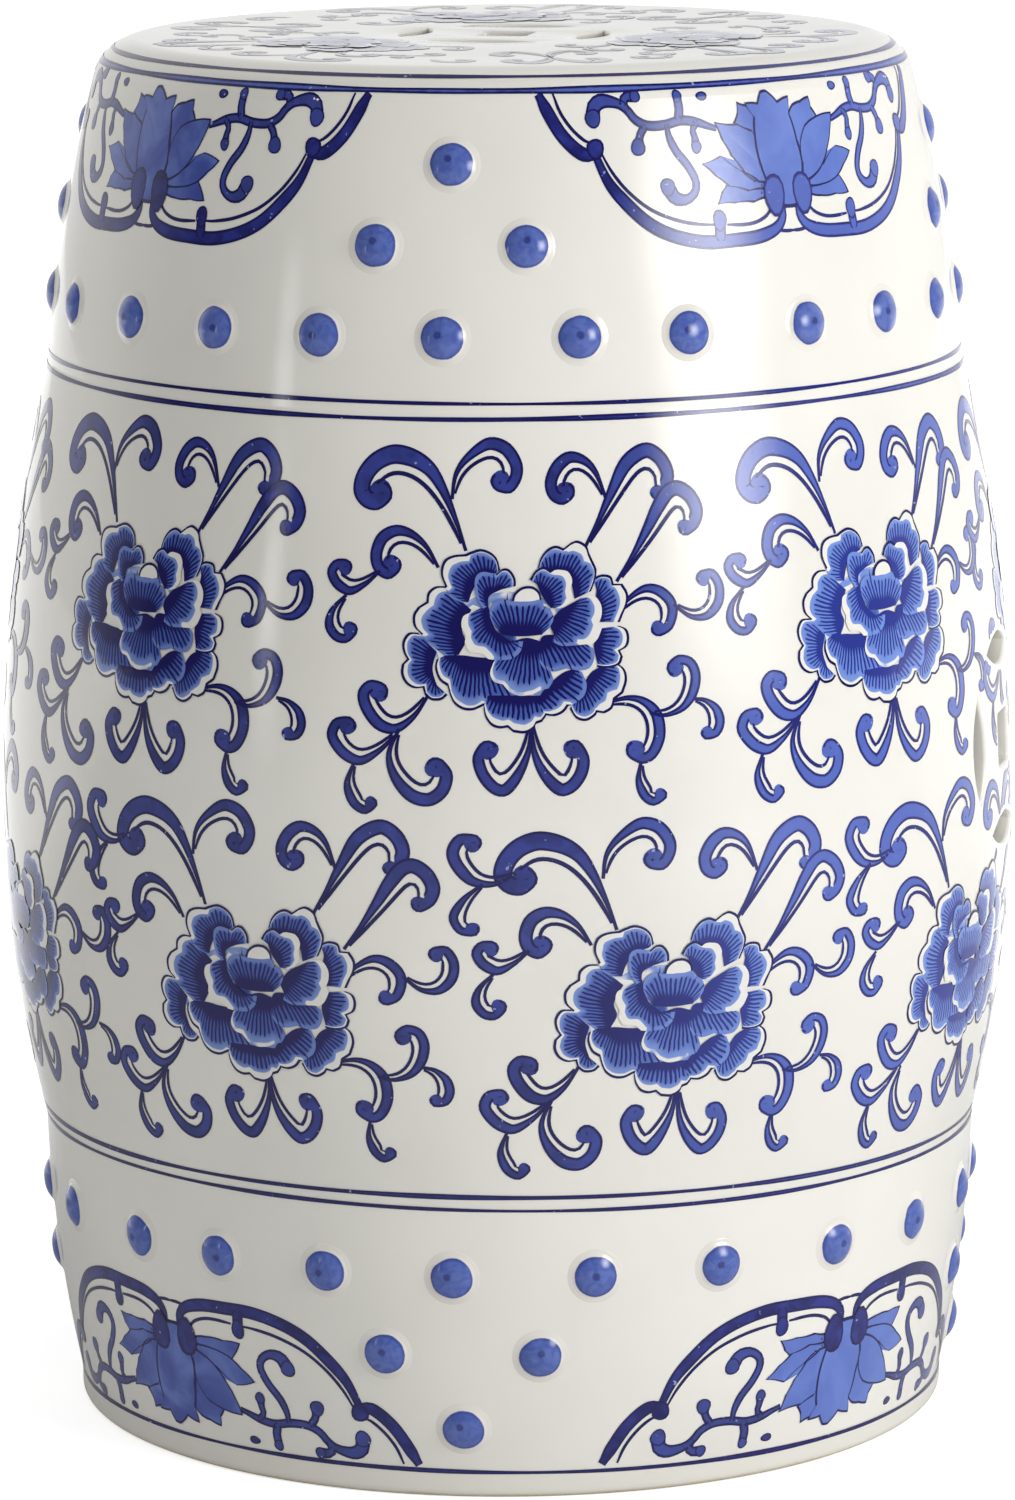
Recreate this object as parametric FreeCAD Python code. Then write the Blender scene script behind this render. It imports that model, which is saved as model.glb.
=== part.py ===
import FreeCAD, Part
import math
import os

# Ceramic garden stool: a hollow barrel of fired clay, open underneath, with a flat seat.
# Units are millimetres. +Z is up and the origin is the centre of the foot, on the floor.
# Azimuth 0 is the front, at -Y, and grows towards +X. The pierced sides face +X and -X.

# Driving heights: the whole stool, then its foot, collars, widest height and seat
HEIGHT = 457.0
FOOT_HEIGHT = 9.0
LOWER_COLLAR_HEIGHT = 88.5
LOWER_BELLY_HEIGHT = 103.5
UPPER_COLLAR_HEIGHT = 95.0
SEAT_THICKNESS = 10.0

# Widest outer radius, and how far each lower or higher ring stands in from its neighbour
BELLY_R = 168.9
LOWER_SEAM_INSET = 12.7
FOOT_INSET = 10.6
UPPER_SEAM_INSET = 17.5
SHOULDER_INSET = 17.2

# Rounding of the seat's and the foot's outer edges
SEAT_EDGE_ROUND = 16.0
FOOT_EDGE_ROUND = 3.0

# Outward bow of the two collars, measured from the straight line between their ends
LOWER_BOW = 2.1
UPPER_BOW = 2.2

# Clay thickness and the foot ring's width
WALL = 8.0
FOOT_WIDTH = 25.0

# Pierced coin panels, one in the seat and one in each side
COIN_R = 42.0
COIN_RISE = 27.0
EYE_SIDE = 17.5
EYE_CORNER_R = 2.0
SLOT_LENGTH = 33.0
SLOT_WIDTH = 10.0
SLOT_OFFSET = 30.0
SIDE_AZIMUTHS = {"right": 90.0, "left": 270.0}

# Round clay studs, with heights above the upper seam or above the floor
STUD_R = 7.0
STUD_RISE = 2.8
STUDS_PER_RING = 24
UPPER_RING_RISE = 23.0
UPPER_PAIR_RISE = 51.0
UPPER_TIP_RISE = 76.0
LOWER_RING_Z = 75.5
LOWER_PAIR_Z = 49.0
LOWER_TIP_Z = 24.0
PAIR_HALF_ANGLE = 9.4
UPPER_TRIANGLE_TURN = 7.0
LOWER_TRIANGLE_TURN = 7.8
TRIANGLES = 4

# Azimuths of the studs at the front, as the maker's hand set them
UPPER_FRONT_AZIMUTHS = (-55.5, -39.3, -24.0, -9.2, 6.2, 22.7, 36.3, 53.5, 67.9, 82.8)
LOWER_FRONT_AZIMUTHS = (-54.3, -37.2, -23.5, -8.7, 6.8, 23.7, 39.3, 56.4, 71.8, 88.5)

SEAT_UNDERSIDE_Z = HEIGHT - SEAT_THICKNESS
UPPER_SEAM_Z = SEAT_UNDERSIDE_Z - UPPER_COLLAR_HEIGHT
LOWER_SEAM_Z = FOOT_HEIGHT + LOWER_COLLAR_HEIGHT
BELLY_Z = LOWER_SEAM_Z + LOWER_BELLY_HEIGHT
COIN_Z = BELLY_Z + COIN_RISE
UPPER_RING_Z = UPPER_SEAM_Z + UPPER_RING_RISE
UPPER_PAIR_Z = UPPER_SEAM_Z + UPPER_PAIR_RISE
UPPER_TIP_Z = UPPER_SEAM_Z + UPPER_TIP_RISE
LOWER_SEAM_R = BELLY_R - LOWER_SEAM_INSET
FOOT_R = LOWER_SEAM_R - FOOT_INSET
UPPER_SEAM_R = BELLY_R - UPPER_SEAM_INSET
SHOULDER_R = UPPER_SEAM_R - SHOULDER_INSET
FOOT_BORE_R = FOOT_R - FOOT_WIDTH
CUT_MARGIN = 5.0
FULL_TURN = 360.0
AXIS = FreeCAD.Vector(0, 0, 1)
ORIGIN = FreeCAD.Vector(0, 0, 0)


def point(radius, z):
    """A point of a section, in the half plane Y = 0."""
    return FreeCAD.Vector(radius, 0, z)


class WallCurve:
    """A circular arc of the outer section, from one height to a higher one."""

    def __init__(self, centre_r, centre_z, radius, low_z, high_z):
        self.centre_r = centre_r
        self.centre_z = centre_z
        self.radius = radius
        self.low_z = low_z
        self.high_z = high_z

    def at(self, z, depth=0.0):
        """Radius of the surface that lies depth inside the outer one."""
        return self.centre_r + math.sqrt((self.radius - depth) ** 2 - (z - self.centre_z) ** 2)

    def edge(self, depth=0.0):
        """The arc that lies depth inside the outer one."""
        middle_z = (self.low_z + self.high_z) / 2
        low = point(self.at(self.low_z, depth), self.low_z)
        middle = point(self.at(middle_z, depth), middle_z)
        high = point(self.at(self.high_z, depth), self.high_z)
        return Part.Arc(low, middle, high).toShape()

    def place(self, azimuth, z):
        """The surface point at an azimuth and height, and the outward normal there."""
        turn = math.radians(azimuth)
        radial = FreeCAD.Vector(math.sin(turn), -math.cos(turn), 0)
        radius = self.at(z)
        normal = radial * (radius - self.centre_r) + AXIS * (z - self.centre_z)
        return radial * radius + AXIS * z, normal.normalize()


def bowed_curve(low_r, low_z, high_r, high_z, bow):
    """An arc between two points that bows outwards by a set amount."""
    chord_r = high_r - low_r
    chord_z = high_z - low_z
    length = math.hypot(chord_r, chord_z)
    radius = (length ** 2 / 4 + bow ** 2) / (2 * bow)
    reach = (radius - bow) / length
    centre_r = (low_r + high_r) / 2 - chord_z * reach
    centre_z = (low_z + high_z) / 2 + chord_r * reach
    return WallCurve(centre_r, centre_z, radius, low_z, high_z)


def belly_curve(seam_r, seam_z):
    """The arc from a seam to the widest height, where the wall stands upright."""
    rise = seam_z - BELLY_Z
    inset = BELLY_R - seam_r
    radius = (rise ** 2 + inset ** 2) / (2 * inset)
    low_z, high_z = sorted((seam_z, BELLY_Z))
    return WallCurve(BELLY_R - radius, BELLY_Z, radius, low_z, high_z)


LOWER_COLLAR = bowed_curve(FOOT_R, FOOT_HEIGHT, LOWER_SEAM_R, LOWER_SEAM_Z, LOWER_BOW)
LOWER_BELLY = belly_curve(LOWER_SEAM_R, LOWER_SEAM_Z)
UPPER_BELLY = belly_curve(UPPER_SEAM_R, UPPER_SEAM_Z)
UPPER_COLLAR = bowed_curve(UPPER_SEAM_R, UPPER_SEAM_Z, SHOULDER_R, SEAT_UNDERSIDE_Z, UPPER_BOW)


def revolve(edges):
    """A full solid of revolution from the edges of a closed section."""
    section = Part.Face(Part.Wire(Part.__sortEdges__(edges)))
    solid = section.revolve(ORIGIN, AXIS, FULL_TURN)
    return solid if solid.Volume > 0 else solid.reversed()


def wall(curves):
    """A clay wall of even thickness that follows stacked curves, flat at both ends."""
    first, last = curves[0], curves[-1]
    edges = [curve.edge() for curve in curves]
    edges += [curve.edge(WALL) for curve in curves]
    for curve, z in ((first, first.low_z), (last, last.high_z)):
        edges.append(Part.makeLine(point(curve.at(z), z), point(curve.at(z, WALL), z)))
    return revolve(edges)


def core(curve):
    """Everything inside a curve's outer surface, to trim what sits on it."""
    low = point(curve.at(curve.low_z), curve.low_z)
    high = point(curve.at(curve.high_z), curve.high_z)
    axis_low = point(0, curve.low_z)
    axis_high = point(0, curve.high_z)
    edges = [curve.edge(), Part.makeLine(high, axis_high)]
    edges += [Part.makeLine(axis_high, axis_low), Part.makeLine(axis_low, low)]
    return revolve(edges)


def rounding(centre, start, end):
    """The shorter arc round a centre between two points at the same distance from it."""
    radius = (start - centre).Length
    middle = centre + ((start - centre) + (end - centre)).normalize() * radius
    return Part.Arc(start, middle, end).toShape()


def coin_cutter(depth):
    """The coin pattern's five holes as prisms along Z, centred on the origin."""
    half = EYE_SIDE / 2
    eye = Part.makeBox(EYE_SIDE, EYE_SIDE, depth, FreeCAD.Vector(-half, -half, -depth / 2))
    uprights = [e for e in eye.Edges if abs(e.tangentAt(e.FirstParameter).z) > 0.5]
    cutter = eye.makeFillet(EYE_CORNER_R, uprights)
    tip = FreeCAD.Vector(SLOT_LENGTH / 2, SLOT_OFFSET, -depth / 2)
    tail = FreeCAD.Vector(-SLOT_LENGTH / 2, SLOT_OFFSET, -depth / 2)
    sides = []
    for way in (1, -1):
        crest = FreeCAD.Vector(0, SLOT_OFFSET + way * SLOT_WIDTH / 2, -depth / 2)
        sides.append(Part.Arc(tail, crest, tip).toShape())
    slot = Part.Face(Part.Wire(sides)).extrude(AXIS * depth)
    for quarter in range(4):
        turned = slot.copy()
        turned.rotate(ORIGIN, AXIS, 90 * quarter)
        cutter = cutter.fuse(turned)
    return cutter


def facing_out(shape, azimuth):
    """Turn a shape made along Z to point out of the wall, at the coin panels' height."""
    turned = shape.copy()
    turned.rotate(ORIGIN, FreeCAD.Vector(1, 0, 0), 90)
    turned.rotate(ORIGIN, AXIS, azimuth)
    turn = math.radians(azimuth)
    turned.translate(FreeCAD.Vector(math.sin(turn), -math.cos(turn), 0) * BELLY_R + AXIS * COIN_Z)
    return turned


def seat_plate():
    """The flat seat with its rounded edge and the round hole that takes its coin panel."""
    centre_z = HEIGHT - SEAT_EDGE_ROUND
    reach = math.sqrt(SEAT_EDGE_ROUND ** 2 - (SEAT_UNDERSIDE_Z - centre_z) ** 2)
    centre = point(SHOULDER_R - reach, centre_z)
    shoulder = point(SHOULDER_R, SEAT_UNDERSIDE_Z)
    crest = point(centre.x, HEIGHT)
    hole_low = point(COIN_R, SEAT_UNDERSIDE_Z)
    hole_high = point(COIN_R, HEIGHT)
    edges = [rounding(centre, shoulder, crest)]
    edges.append(Part.makeLine(crest, hole_high))
    edges.append(Part.makeLine(hole_high, hole_low))
    edges.append(Part.makeLine(hole_low, shoulder))
    return revolve(edges)


def seat_coin():
    """The pierced coin panel that fills the seat's round hole."""
    disc = Part.makeCylinder(COIN_R, SEAT_THICKNESS, point(0, SEAT_UNDERSIDE_Z))
    cutter = coin_cutter(SEAT_THICKNESS + 2 * CUT_MARGIN)
    cutter.translate(AXIS * (SEAT_UNDERSIDE_Z + SEAT_THICKNESS / 2))
    return disc.cut(cutter)


def side_plug(azimuth):
    """A round bar through one side of the belly, as wide as a coin panel."""
    length = 2 * (COIN_R + WALL)
    bar = Part.makeCylinder(COIN_R, length, AXIS * (-length / 2))
    return facing_out(bar, azimuth)


def belly_wall(shell):
    """The belly with a round hole in each side for a coin panel."""
    body = shell
    for azimuth in SIDE_AZIMUTHS.values():
        body = body.cut(side_plug(azimuth))
    return body


def side_coin(shell, azimuth):
    """A curved coin panel, a round piece of the belly with the pattern cut through it."""
    panel = shell.common(side_plug(azimuth))
    cutter = facing_out(coin_cutter(2 * (COIN_R + WALL)), azimuth)
    return panel.cut(cutter)


def foot_ring():
    """The flat foot with a rounded outer edge, wider than the wall that stands on it."""
    centre = point(FOOT_R - FOOT_EDGE_ROUND, FOOT_EDGE_ROUND)
    bore_low = point(FOOT_BORE_R, 0)
    bore_high = point(FOOT_BORE_R, FOOT_HEIGHT)
    flat_end = point(centre.x, 0)
    round_end = point(FOOT_R, FOOT_EDGE_ROUND)
    outer_top = point(FOOT_R, FOOT_HEIGHT)
    edges = [rounding(centre, flat_end, round_end), Part.makeLine(round_end, outer_top)]
    edges.append(Part.makeLine(outer_top, bore_high))
    edges.append(Part.makeLine(bore_high, bore_low))
    edges.append(Part.makeLine(bore_low, flat_end))
    return revolve(edges)


def stud(curve, trimmer, azimuth, z):
    """A low clay dome whose base follows the wall that it is pressed onto."""
    ball_r = (STUD_R ** 2 + STUD_RISE ** 2) / (2 * STUD_RISE)
    seat, normal = curve.place(azimuth, z)
    centre = seat + normal * (STUD_RISE - ball_r)
    ball = Part.makeSphere(ball_r, centre, normal)
    return ball.cut(trimmer)


def studs(curve, places):
    """Studs at a list of azimuths and heights on one collar."""
    trimmer = core(curve)
    return Part.makeCompound([stud(curve, trimmer, azimuth, z) for azimuth, z in places])


def ring_places(front, z):
    """The front studs, then the rest of the ring spaced evenly round the back."""
    rest = STUDS_PER_RING - len(front)
    gap = (front[0] + FULL_TURN - front[-1]) / (rest + 1)
    back = [front[-1] + gap * (index + 1) for index in range(rest)]
    return [(azimuth, z) for azimuth in list(front) + back]


def triangle_places(turn, pair_z, tip_z):
    """Two studs and a single one past them, in each quarter."""
    places = []
    for index in range(TRIANGLES):
        centre = turn + FULL_TURN / TRIANGLES * index
        places.append((centre - PAIR_HALF_ANGLE, pair_z))
        places.append((centre + PAIR_HALF_ANGLE, pair_z))
        places.append((centre, tip_z))
    return places


def build():
    """Every node of the stool by its name."""
    shell = wall([LOWER_BELLY, UPPER_BELLY])
    upper_triangles = triangle_places(UPPER_TRIANGLE_TURN, UPPER_PAIR_Z, UPPER_TIP_Z)
    lower_triangles = triangle_places(LOWER_TRIANGLE_TURN, LOWER_PAIR_Z, LOWER_TIP_Z)
    nodes = {
        "seat_plate": seat_plate(),
        "seat_coin_panel": seat_coin(),
        "upper_collar": wall([UPPER_COLLAR]),
        "upper_ring_studs": studs(UPPER_COLLAR, ring_places(UPPER_FRONT_AZIMUTHS, UPPER_RING_Z)),
        "upper_triangle_studs": studs(UPPER_COLLAR, upper_triangles),
        "belly_wall": belly_wall(shell),
        "lower_collar": wall([LOWER_COLLAR]),
        "lower_ring_studs": studs(LOWER_COLLAR, ring_places(LOWER_FRONT_AZIMUTHS, LOWER_RING_Z)),
        "lower_triangle_studs": studs(LOWER_COLLAR, lower_triangles),
        "foot_ring": foot_ring(),
    }
    for side, azimuth in SIDE_AZIMUTHS.items():
        nodes["side_coin_panel_" + side] = side_coin(shell, azimuth)
    return nodes


os.makedirs("parts", exist_ok=True)
for name, shape in build().items():
    shape.exportStep("parts/" + name + ".step")
    print(name, len(shape.Solids), round(shape.Volume / 1000, 2), "cm3", shape.isValid())
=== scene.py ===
import math
import random

import bmesh
import bpy
from bpy.props import FloatProperty, FloatVectorProperty, PointerProperty
from mathutils import Matrix, Vector


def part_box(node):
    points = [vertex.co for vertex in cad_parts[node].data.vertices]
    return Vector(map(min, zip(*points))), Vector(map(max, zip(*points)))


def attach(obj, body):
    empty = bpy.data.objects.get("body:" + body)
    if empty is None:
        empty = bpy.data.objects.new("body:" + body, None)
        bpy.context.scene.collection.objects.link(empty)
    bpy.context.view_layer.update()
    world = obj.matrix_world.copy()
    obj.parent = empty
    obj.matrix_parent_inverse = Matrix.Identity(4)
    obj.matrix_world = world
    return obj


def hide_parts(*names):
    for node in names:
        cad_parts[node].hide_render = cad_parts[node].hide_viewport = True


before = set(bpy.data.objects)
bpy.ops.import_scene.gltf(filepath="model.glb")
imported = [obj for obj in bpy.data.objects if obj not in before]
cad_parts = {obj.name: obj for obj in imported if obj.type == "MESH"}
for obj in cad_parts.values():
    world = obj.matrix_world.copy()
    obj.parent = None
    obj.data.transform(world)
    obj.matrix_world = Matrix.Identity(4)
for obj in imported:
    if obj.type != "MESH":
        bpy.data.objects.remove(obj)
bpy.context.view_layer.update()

bl_info = {
    "name": "Ceramic garden stool",
    "version": (1, 0, 0),
    "blender": (4, 5, 0),
    "location": "3D View > Sidebar > Garden stool",
    "description": "Builds the glazed shell, the studs and the cobalt painting of a garden stool",
    "category": "Object",
}

# Sizes are in millimetres here and become metres when a mesh is finished
MM = 1000.0
BODY = "root"


def node_box(name):
    """A node's lowest and highest corners in millimetres."""
    low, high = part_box(name)
    return Vector(low) * MM, Vector(high) * MM


FOOT_HIGH = node_box("foot_ring")[1]
BELLY_LOW, BELLY_HIGH = node_box("belly_wall")
COLLAR_HIGH = node_box("upper_collar")[1]
SEAT_HIGH = node_box("seat_plate")[1]
COIN_LOW, COIN_HIGH = node_box("side_coin_panel_right")

# The outer wall from the foot up, after the construction model
FOOT_R = FOOT_HIGH.x
FOOT_TOP = FOOT_HIGH.z
FOOT_WIDTH = 25.0
FOOT_ROUND = 3.0
LOWER_BOW = 2.1
LOWER_SEAM_Z = BELLY_LOW.z
BELLY_R = BELLY_HIGH.y
BELLY_RISE = 103.5
BELLY_Z = LOWER_SEAM_Z + BELLY_RISE
SEAM_INSET = 12.7
LOWER_SEAM_R = BELLY_R - SEAM_INSET
COIN_Z = (COIN_LOW.z + COIN_HIGH.z) / 2
UPPER_SEAM_Z = BELLY_HIGH.z
UPPER_SEAM_R = COLLAR_HIGH.x
UPPER_BOW = 2.2
UNDERSIDE_Z = COLLAR_HIGH.z
SHOULDER_R = SEAT_HIGH.x
SEAT_ROUND = 16.0
HEIGHT = SEAT_HIGH.z

# Paint is laid out flat and wrapped round a cylinder of this radius
WRAP_R = 160.0
# How many faces go once round the stool
SPOKES = 180
# Points nearer to each other than this become one, the second where the seat's coin meets its ring
WELD = 0.004
LOOSE_WELD = 0.02


def bowed(low_r, low_z, high_r, high_z, bow):
    """Centre and radius of an arc between two points that bows outwards."""
    chord_r, chord_z = high_r - low_r, high_z - low_z
    length = math.hypot(chord_r, chord_z)
    radius = (length ** 2 / 4 + bow ** 2) / (2 * bow)
    reach = (radius - bow) / length
    return (low_r + high_r) / 2 - chord_z * reach, (low_z + high_z) / 2 + chord_r * reach, radius


def barrel(seam_r, seam_z):
    """Centre and radius of the arc from a seam to the widest height."""
    inset = BELLY_R - seam_r
    radius = ((seam_z - BELLY_Z) ** 2 + inset ** 2) / (2 * inset)
    return BELLY_R - radius, BELLY_Z, radius


LOWER_ARC = bowed(FOOT_R, FOOT_TOP, LOWER_SEAM_R, LOWER_SEAM_Z, LOWER_BOW)
LOWER_BARREL = barrel(LOWER_SEAM_R, LOWER_SEAM_Z)
UPPER_BARREL = barrel(UPPER_SEAM_R, UPPER_SEAM_Z)
UPPER_ARC = bowed(UPPER_SEAM_R, UPPER_SEAM_Z, SHOULDER_R, UNDERSIDE_Z, UPPER_BOW)
SEAT_CENTRE_Z = HEIGHT - SEAT_ROUND
SEAT_FLAT_R = SHOULDER_R - math.sqrt(SEAT_ROUND ** 2 - (UNDERSIDE_Z - SEAT_CENTRE_Z) ** 2)
SEAT_ARC = (SEAT_FLAT_R, SEAT_CENTRE_Z, SEAT_ROUND)


def arc_at(z):
    """The arc of the outer wall at a height."""
    if z < LOWER_SEAM_Z:
        return LOWER_ARC
    if z < BELLY_Z:
        return LOWER_BARREL
    if z < UPPER_SEAM_Z:
        return UPPER_BARREL
    return UPPER_ARC if z < UNDERSIDE_Z else SEAT_ARC


def section(z, lift=0.0, arc=None):
    """Radius and height of the point that stands lift off the outer wall at a height."""
    if z < FOOT_TOP and arc is None:
        return FOOT_R + lift, z
    centre_r, centre_z, radius = arc or arc_at(z)
    side = math.sqrt(max(radius ** 2 - (z - centre_z) ** 2, 0.0))
    grow = (radius + lift) / radius
    return centre_r + side * grow, centre_z + (z - centre_z) * grow


def on_wall(u, z, lift=0.0):
    """A wall point: u is the flat way round to the right from the front."""
    radius, height = section(z, lift)
    azimuth = u / WRAP_R
    return Vector((math.sin(azimuth) * radius, -math.cos(azimuth) * radius, height))


def way_round(azimuth):
    """The flat way round from the front to an azimuth in degrees."""
    return azimuth * math.pi / 180 * WRAP_R


def finish_piece(name, bm, material, replaced=(), smooth=35.0, outwards=True, merge=True):
    """Turn a millimetre bmesh into a finished piece that rides on the stool."""
    if merge:
        bmesh.ops.remove_doubles(bm, verts=bm.verts, dist=WELD)
    if outwards:
        bmesh.ops.recalc_face_normals(bm, faces=bm.faces)
    bmesh.ops.scale(bm, vec=Vector((1 / MM, 1 / MM, 1 / MM)), verts=bm.verts)
    mesh = bpy.data.meshes.new(name)
    bm.to_mesh(mesh)
    bm.free()
    mesh.shade_smooth()
    mesh.set_sharp_from_angle(angle=math.radians(smooth))
    mesh.materials.append(material)
    piece = bpy.data.objects.new(name, mesh)
    bpy.context.scene.collection.objects.link(piece)
    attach(piece, BODY)
    if replaced:
        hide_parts(*replaced)
    return piece


def finish_paint(name, bm, kind):
    """Finish a painted sheet with its faces turned outwards."""
    for face in bm.faces:
        face.normal_update()
        centre = face.calc_center_median()
        out = Vector((0, 0, 1)) if centre.z > HEIGHT - 0.5 else Vector((centre.x, centre.y, 0))
        if face.normal.dot(out) < 0:
            face.normal_flip()
    finish_piece(
        name, bm, material(kind), outwards=False, merge=False, smooth=60.0
    )


# Materials

# The attribute in which painted pieces carry the brush's three numbers
BRUSH_MARKS = "brush"
# Washes are painted paler, as painted light, where the lamps light the right side, between these
# places to the right, and over this rise, in metres
LIT_SIDE_FROM = 0.05
LIT_SIDE_TO = 0.125
LIT_SIDE_RISE = 0.05
# The glaze's grains to a metre, then its waves' depth in metres and the other depths as shares of it
GLAZE_WAVES = 14.0
ORANGE_PEEL = 420.0
PINHOLES = 900.0
WAVE_DEPTH = 0.0012
PEEL_DEPTH = 0.012
PIT_DEPTH = 0.01
GLOSS = 0.075
# Bare clay reaches up to between these heights, in metres
CLAY_FULL = 0.0016
CLAY_GONE = 0.0026
# Scrolls are painted paler for the lamp-lit right side only above this height, in metres
SCROLLS_LIT_ABOVE = 0.08
# Where a petal's edge line starts, on a scale from 0 at its root to 1 at its edge
EDGE_LINE = 0.944


class Nodes:
    """A node tree with short calls for the nodes that materials, lamps and the world need."""

    def __init__(self, tree):
        self.tree = tree

    def add(self, kind, inputs=None, **settings):
        """Add a node, set it up and feed its inputs with values or sockets."""
        made = self.tree.nodes.new(kind)
        for key, value in settings.items():
            setattr(made, key, value)
        for key, value in (inputs or {}).items():
            self.feed(made.inputs[key], value)
        return made

    def feed(self, socket, value):
        """Give a socket a value, or link it to another socket."""
        if isinstance(value, bpy.types.NodeSocket):
            self.tree.links.new(value, socket)
        else:
            socket.default_value = value

    def math(self, kind, first, second=0.0, third=0.0):
        """A maths node's result."""
        made = self.add("ShaderNodeMath", operation=kind)
        for socket, value in zip(made.inputs, (first, second, third)):
            self.feed(socket, value)
        return made.outputs[0]

    def step(self, value, low, high, least=0.0):
        """A smooth rise from least at low to 1 at high."""
        inputs = {"Value": value, "From Min": low, "From Max": high, "To Min": least}
        return self.add("ShaderNodeMapRange", inputs, interpolation_type="SMOOTHSTEP").outputs[0]

    def parts(self, vector):
        """The three numbers of a vector."""
        return self.add("ShaderNodeSeparateXYZ", {"Vector": vector}).outputs

    def rays(self, *kinds):
        """1 for rays of the given kinds, else 0."""
        paths = self.add("ShaderNodeLightPath")
        share = paths.outputs[kinds[0]]
        for kind in kinds[1:]:
            share = self.math("MAXIMUM", share, paths.outputs[kind])
        return share

    def backwards(self, vector):
        """How far a vector points away from the camera, past the stool."""
        turn = math.radians(VIEW_AZIMUTH)
        away = (-math.sin(turn), math.cos(turn), 0.0)
        made = self.add("ShaderNodeVectorMath", {0: vector, 1: away}, operation="DOT_PRODUCT")
        return made.outputs["Value"]


class Shader(Nodes):
    """A material's nodes round its surface, on the object's own coordinates in metres."""

    def __init__(self, name):
        self.material = bpy.data.materials.new(name)
        self.material.use_nodes = True
        super().__init__(self.material.node_tree)
        self.surface = self.tree.nodes["Principled BSDF"]
        self.place = self.add("ShaderNodeTexCoord").outputs["Object"]

    def mix(self, share, first, second):
        """A colour between two others."""
        made = self.add("ShaderNodeMix", data_type="RGBA")
        self.feed(made.inputs["Factor"], share)
        self.feed(made.inputs[6], first)
        self.feed(made.inputs[7], second)
        return made.outputs[2]

    def noise(self, scale, detail=2.0, distortion=0.0):
        """A noise value: scale says how many grains lie along a metre."""
        inputs = {"Vector": self.place, "Scale": scale, "Detail": detail, "Distortion": distortion}
        return self.add("ShaderNodeTexNoise", inputs).outputs["Fac"]

    def brush(self):
        """The three numbers that the brush left on a piece's points."""
        source = self.add("ShaderNodeAttribute", attribute_name=BRUSH_MARKS)
        return self.parts(source.outputs["Vector"])[:3]

    def lit_side_paler(self, wash, paler, share=0.75, above=-1.0):
        """A wash painted paler towards the lamp-lit right, above a height: painted light."""
        place = self.parts(self.place)
        share = self.math("MULTIPLY", self.step(place["X"], LIT_SIDE_FROM, LIT_SIDE_TO), share)
        share = self.math("MULTIPLY", share, self.step(place["Z"], above, above + LIT_SIDE_RISE))
        return self.mix(share, wash, paler)

    def glazed(self, colour):
        """Finish with a glossy glaze: slow waves, orange peel and a few pinholes."""
        waves = self.noise(GLAZE_WAVES, 1.0)
        peel = self.noise(ORANGE_PEEL, 1.0)
        pits = self.step(self.noise(PINHOLES, 0.0), 0.80, 0.86)
        height = self.math("MULTIPLY_ADD", waves, 1.0, self.math("MULTIPLY", peel, PEEL_DEPTH))
        height = self.math("SUBTRACT", height, self.math("MULTIPLY", pits, PIT_DEPTH))
        bump = self.add("ShaderNodeBump", {"Distance": WAVE_DEPTH, "Height": height})
        self.feed(self.surface.inputs["Normal"], bump.outputs["Normal"])
        self.feed(self.surface.inputs["Base Color"], colour)
        self.feed(self.surface.inputs["Roughness"], GLOSS)
        return self.material


def colour(red, green, blue):
    """A linear colour from the 0 to 255 values a painter would pick."""
    parts = []
    for part in (red, green, blue):
        parts.append(((part / 255 + 0.055) / 1.055) ** 2.4 if part > 10 else part / 3294)
    return (*parts, 1.0)


# The painter's colours: the line's, and a scroll's wash from deep to pale, each with a paler colour
# painted as light on the lamp-lit right side, and its specks
NAVY = colour(22, 20, 84)
NAVY_LIT = colour(30, 36, 120)
SCROLL_DEEP = colour(22, 22, 90)
SCROLL_BLUE = colour(42, 50, 134)
SCROLL_PALE = colour(92, 112, 190)
SCROLL_LIT = colour(88, 110, 196)
SPECK = colour(176, 190, 226)
# A petal's comb marks and its wash from the root to the rim, each with a paler colour painted as
# light on the lamp-lit right side
COMB = colour(19, 16, 88)
COMB_LIT = colour(46, 60, 152)
PETAL_ROOT = colour(26, 30, 108)
PETAL_BLUE = colour(66, 90, 168)
PETAL_PALE = colour(120, 144, 204)
PETAL_LIT = colour(116, 146, 218)
PETAL_RIM = colour(229, 227, 221)
# A lotus petal's clouds, its darker wash, and its wash painted paler as light on the lamp-lit right
# side
LOTUS_BLUE = colour(62, 80, 160)
LOTUS_PALE = colour(98, 120, 192)
LOTUS_DEEP = colour(42, 52, 138)
LOTUS_LIT = colour(104, 130, 208)
# A stud's clouds, its dark rim and dot, and the glaze at its root
STUD_BLUE = colour(74, 93, 168)
STUD_PALE = colour(92, 112, 182)
STUD_RIM = colour(46, 58, 138)
STUD_DOT = colour(30, 34, 104)
STUD_ROOT = colour(229, 226, 218)
# The glaze's clouds, the glaze on the foot, and its bare clay
GLAZE_CLOUD = colour(236, 234, 226)
FOOT_GLAZE = colour(226, 223, 214)
CLAY_DARK = colour(196, 182, 156)
CLAY_PALE = colour(222, 212, 190)


def glaze_material():
    """Warm off-white glaze over the clay, with faint clouding."""
    shader = Shader("off_white_glaze")
    looks = bpy.context.scene.stool_looks
    clouds = shader.step(shader.noise(9.0, 3.0), 0.35, 0.7)
    return shader.glazed(shader.mix(clouds, (*looks.glaze, 1.0), GLAZE_CLOUD))


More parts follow.
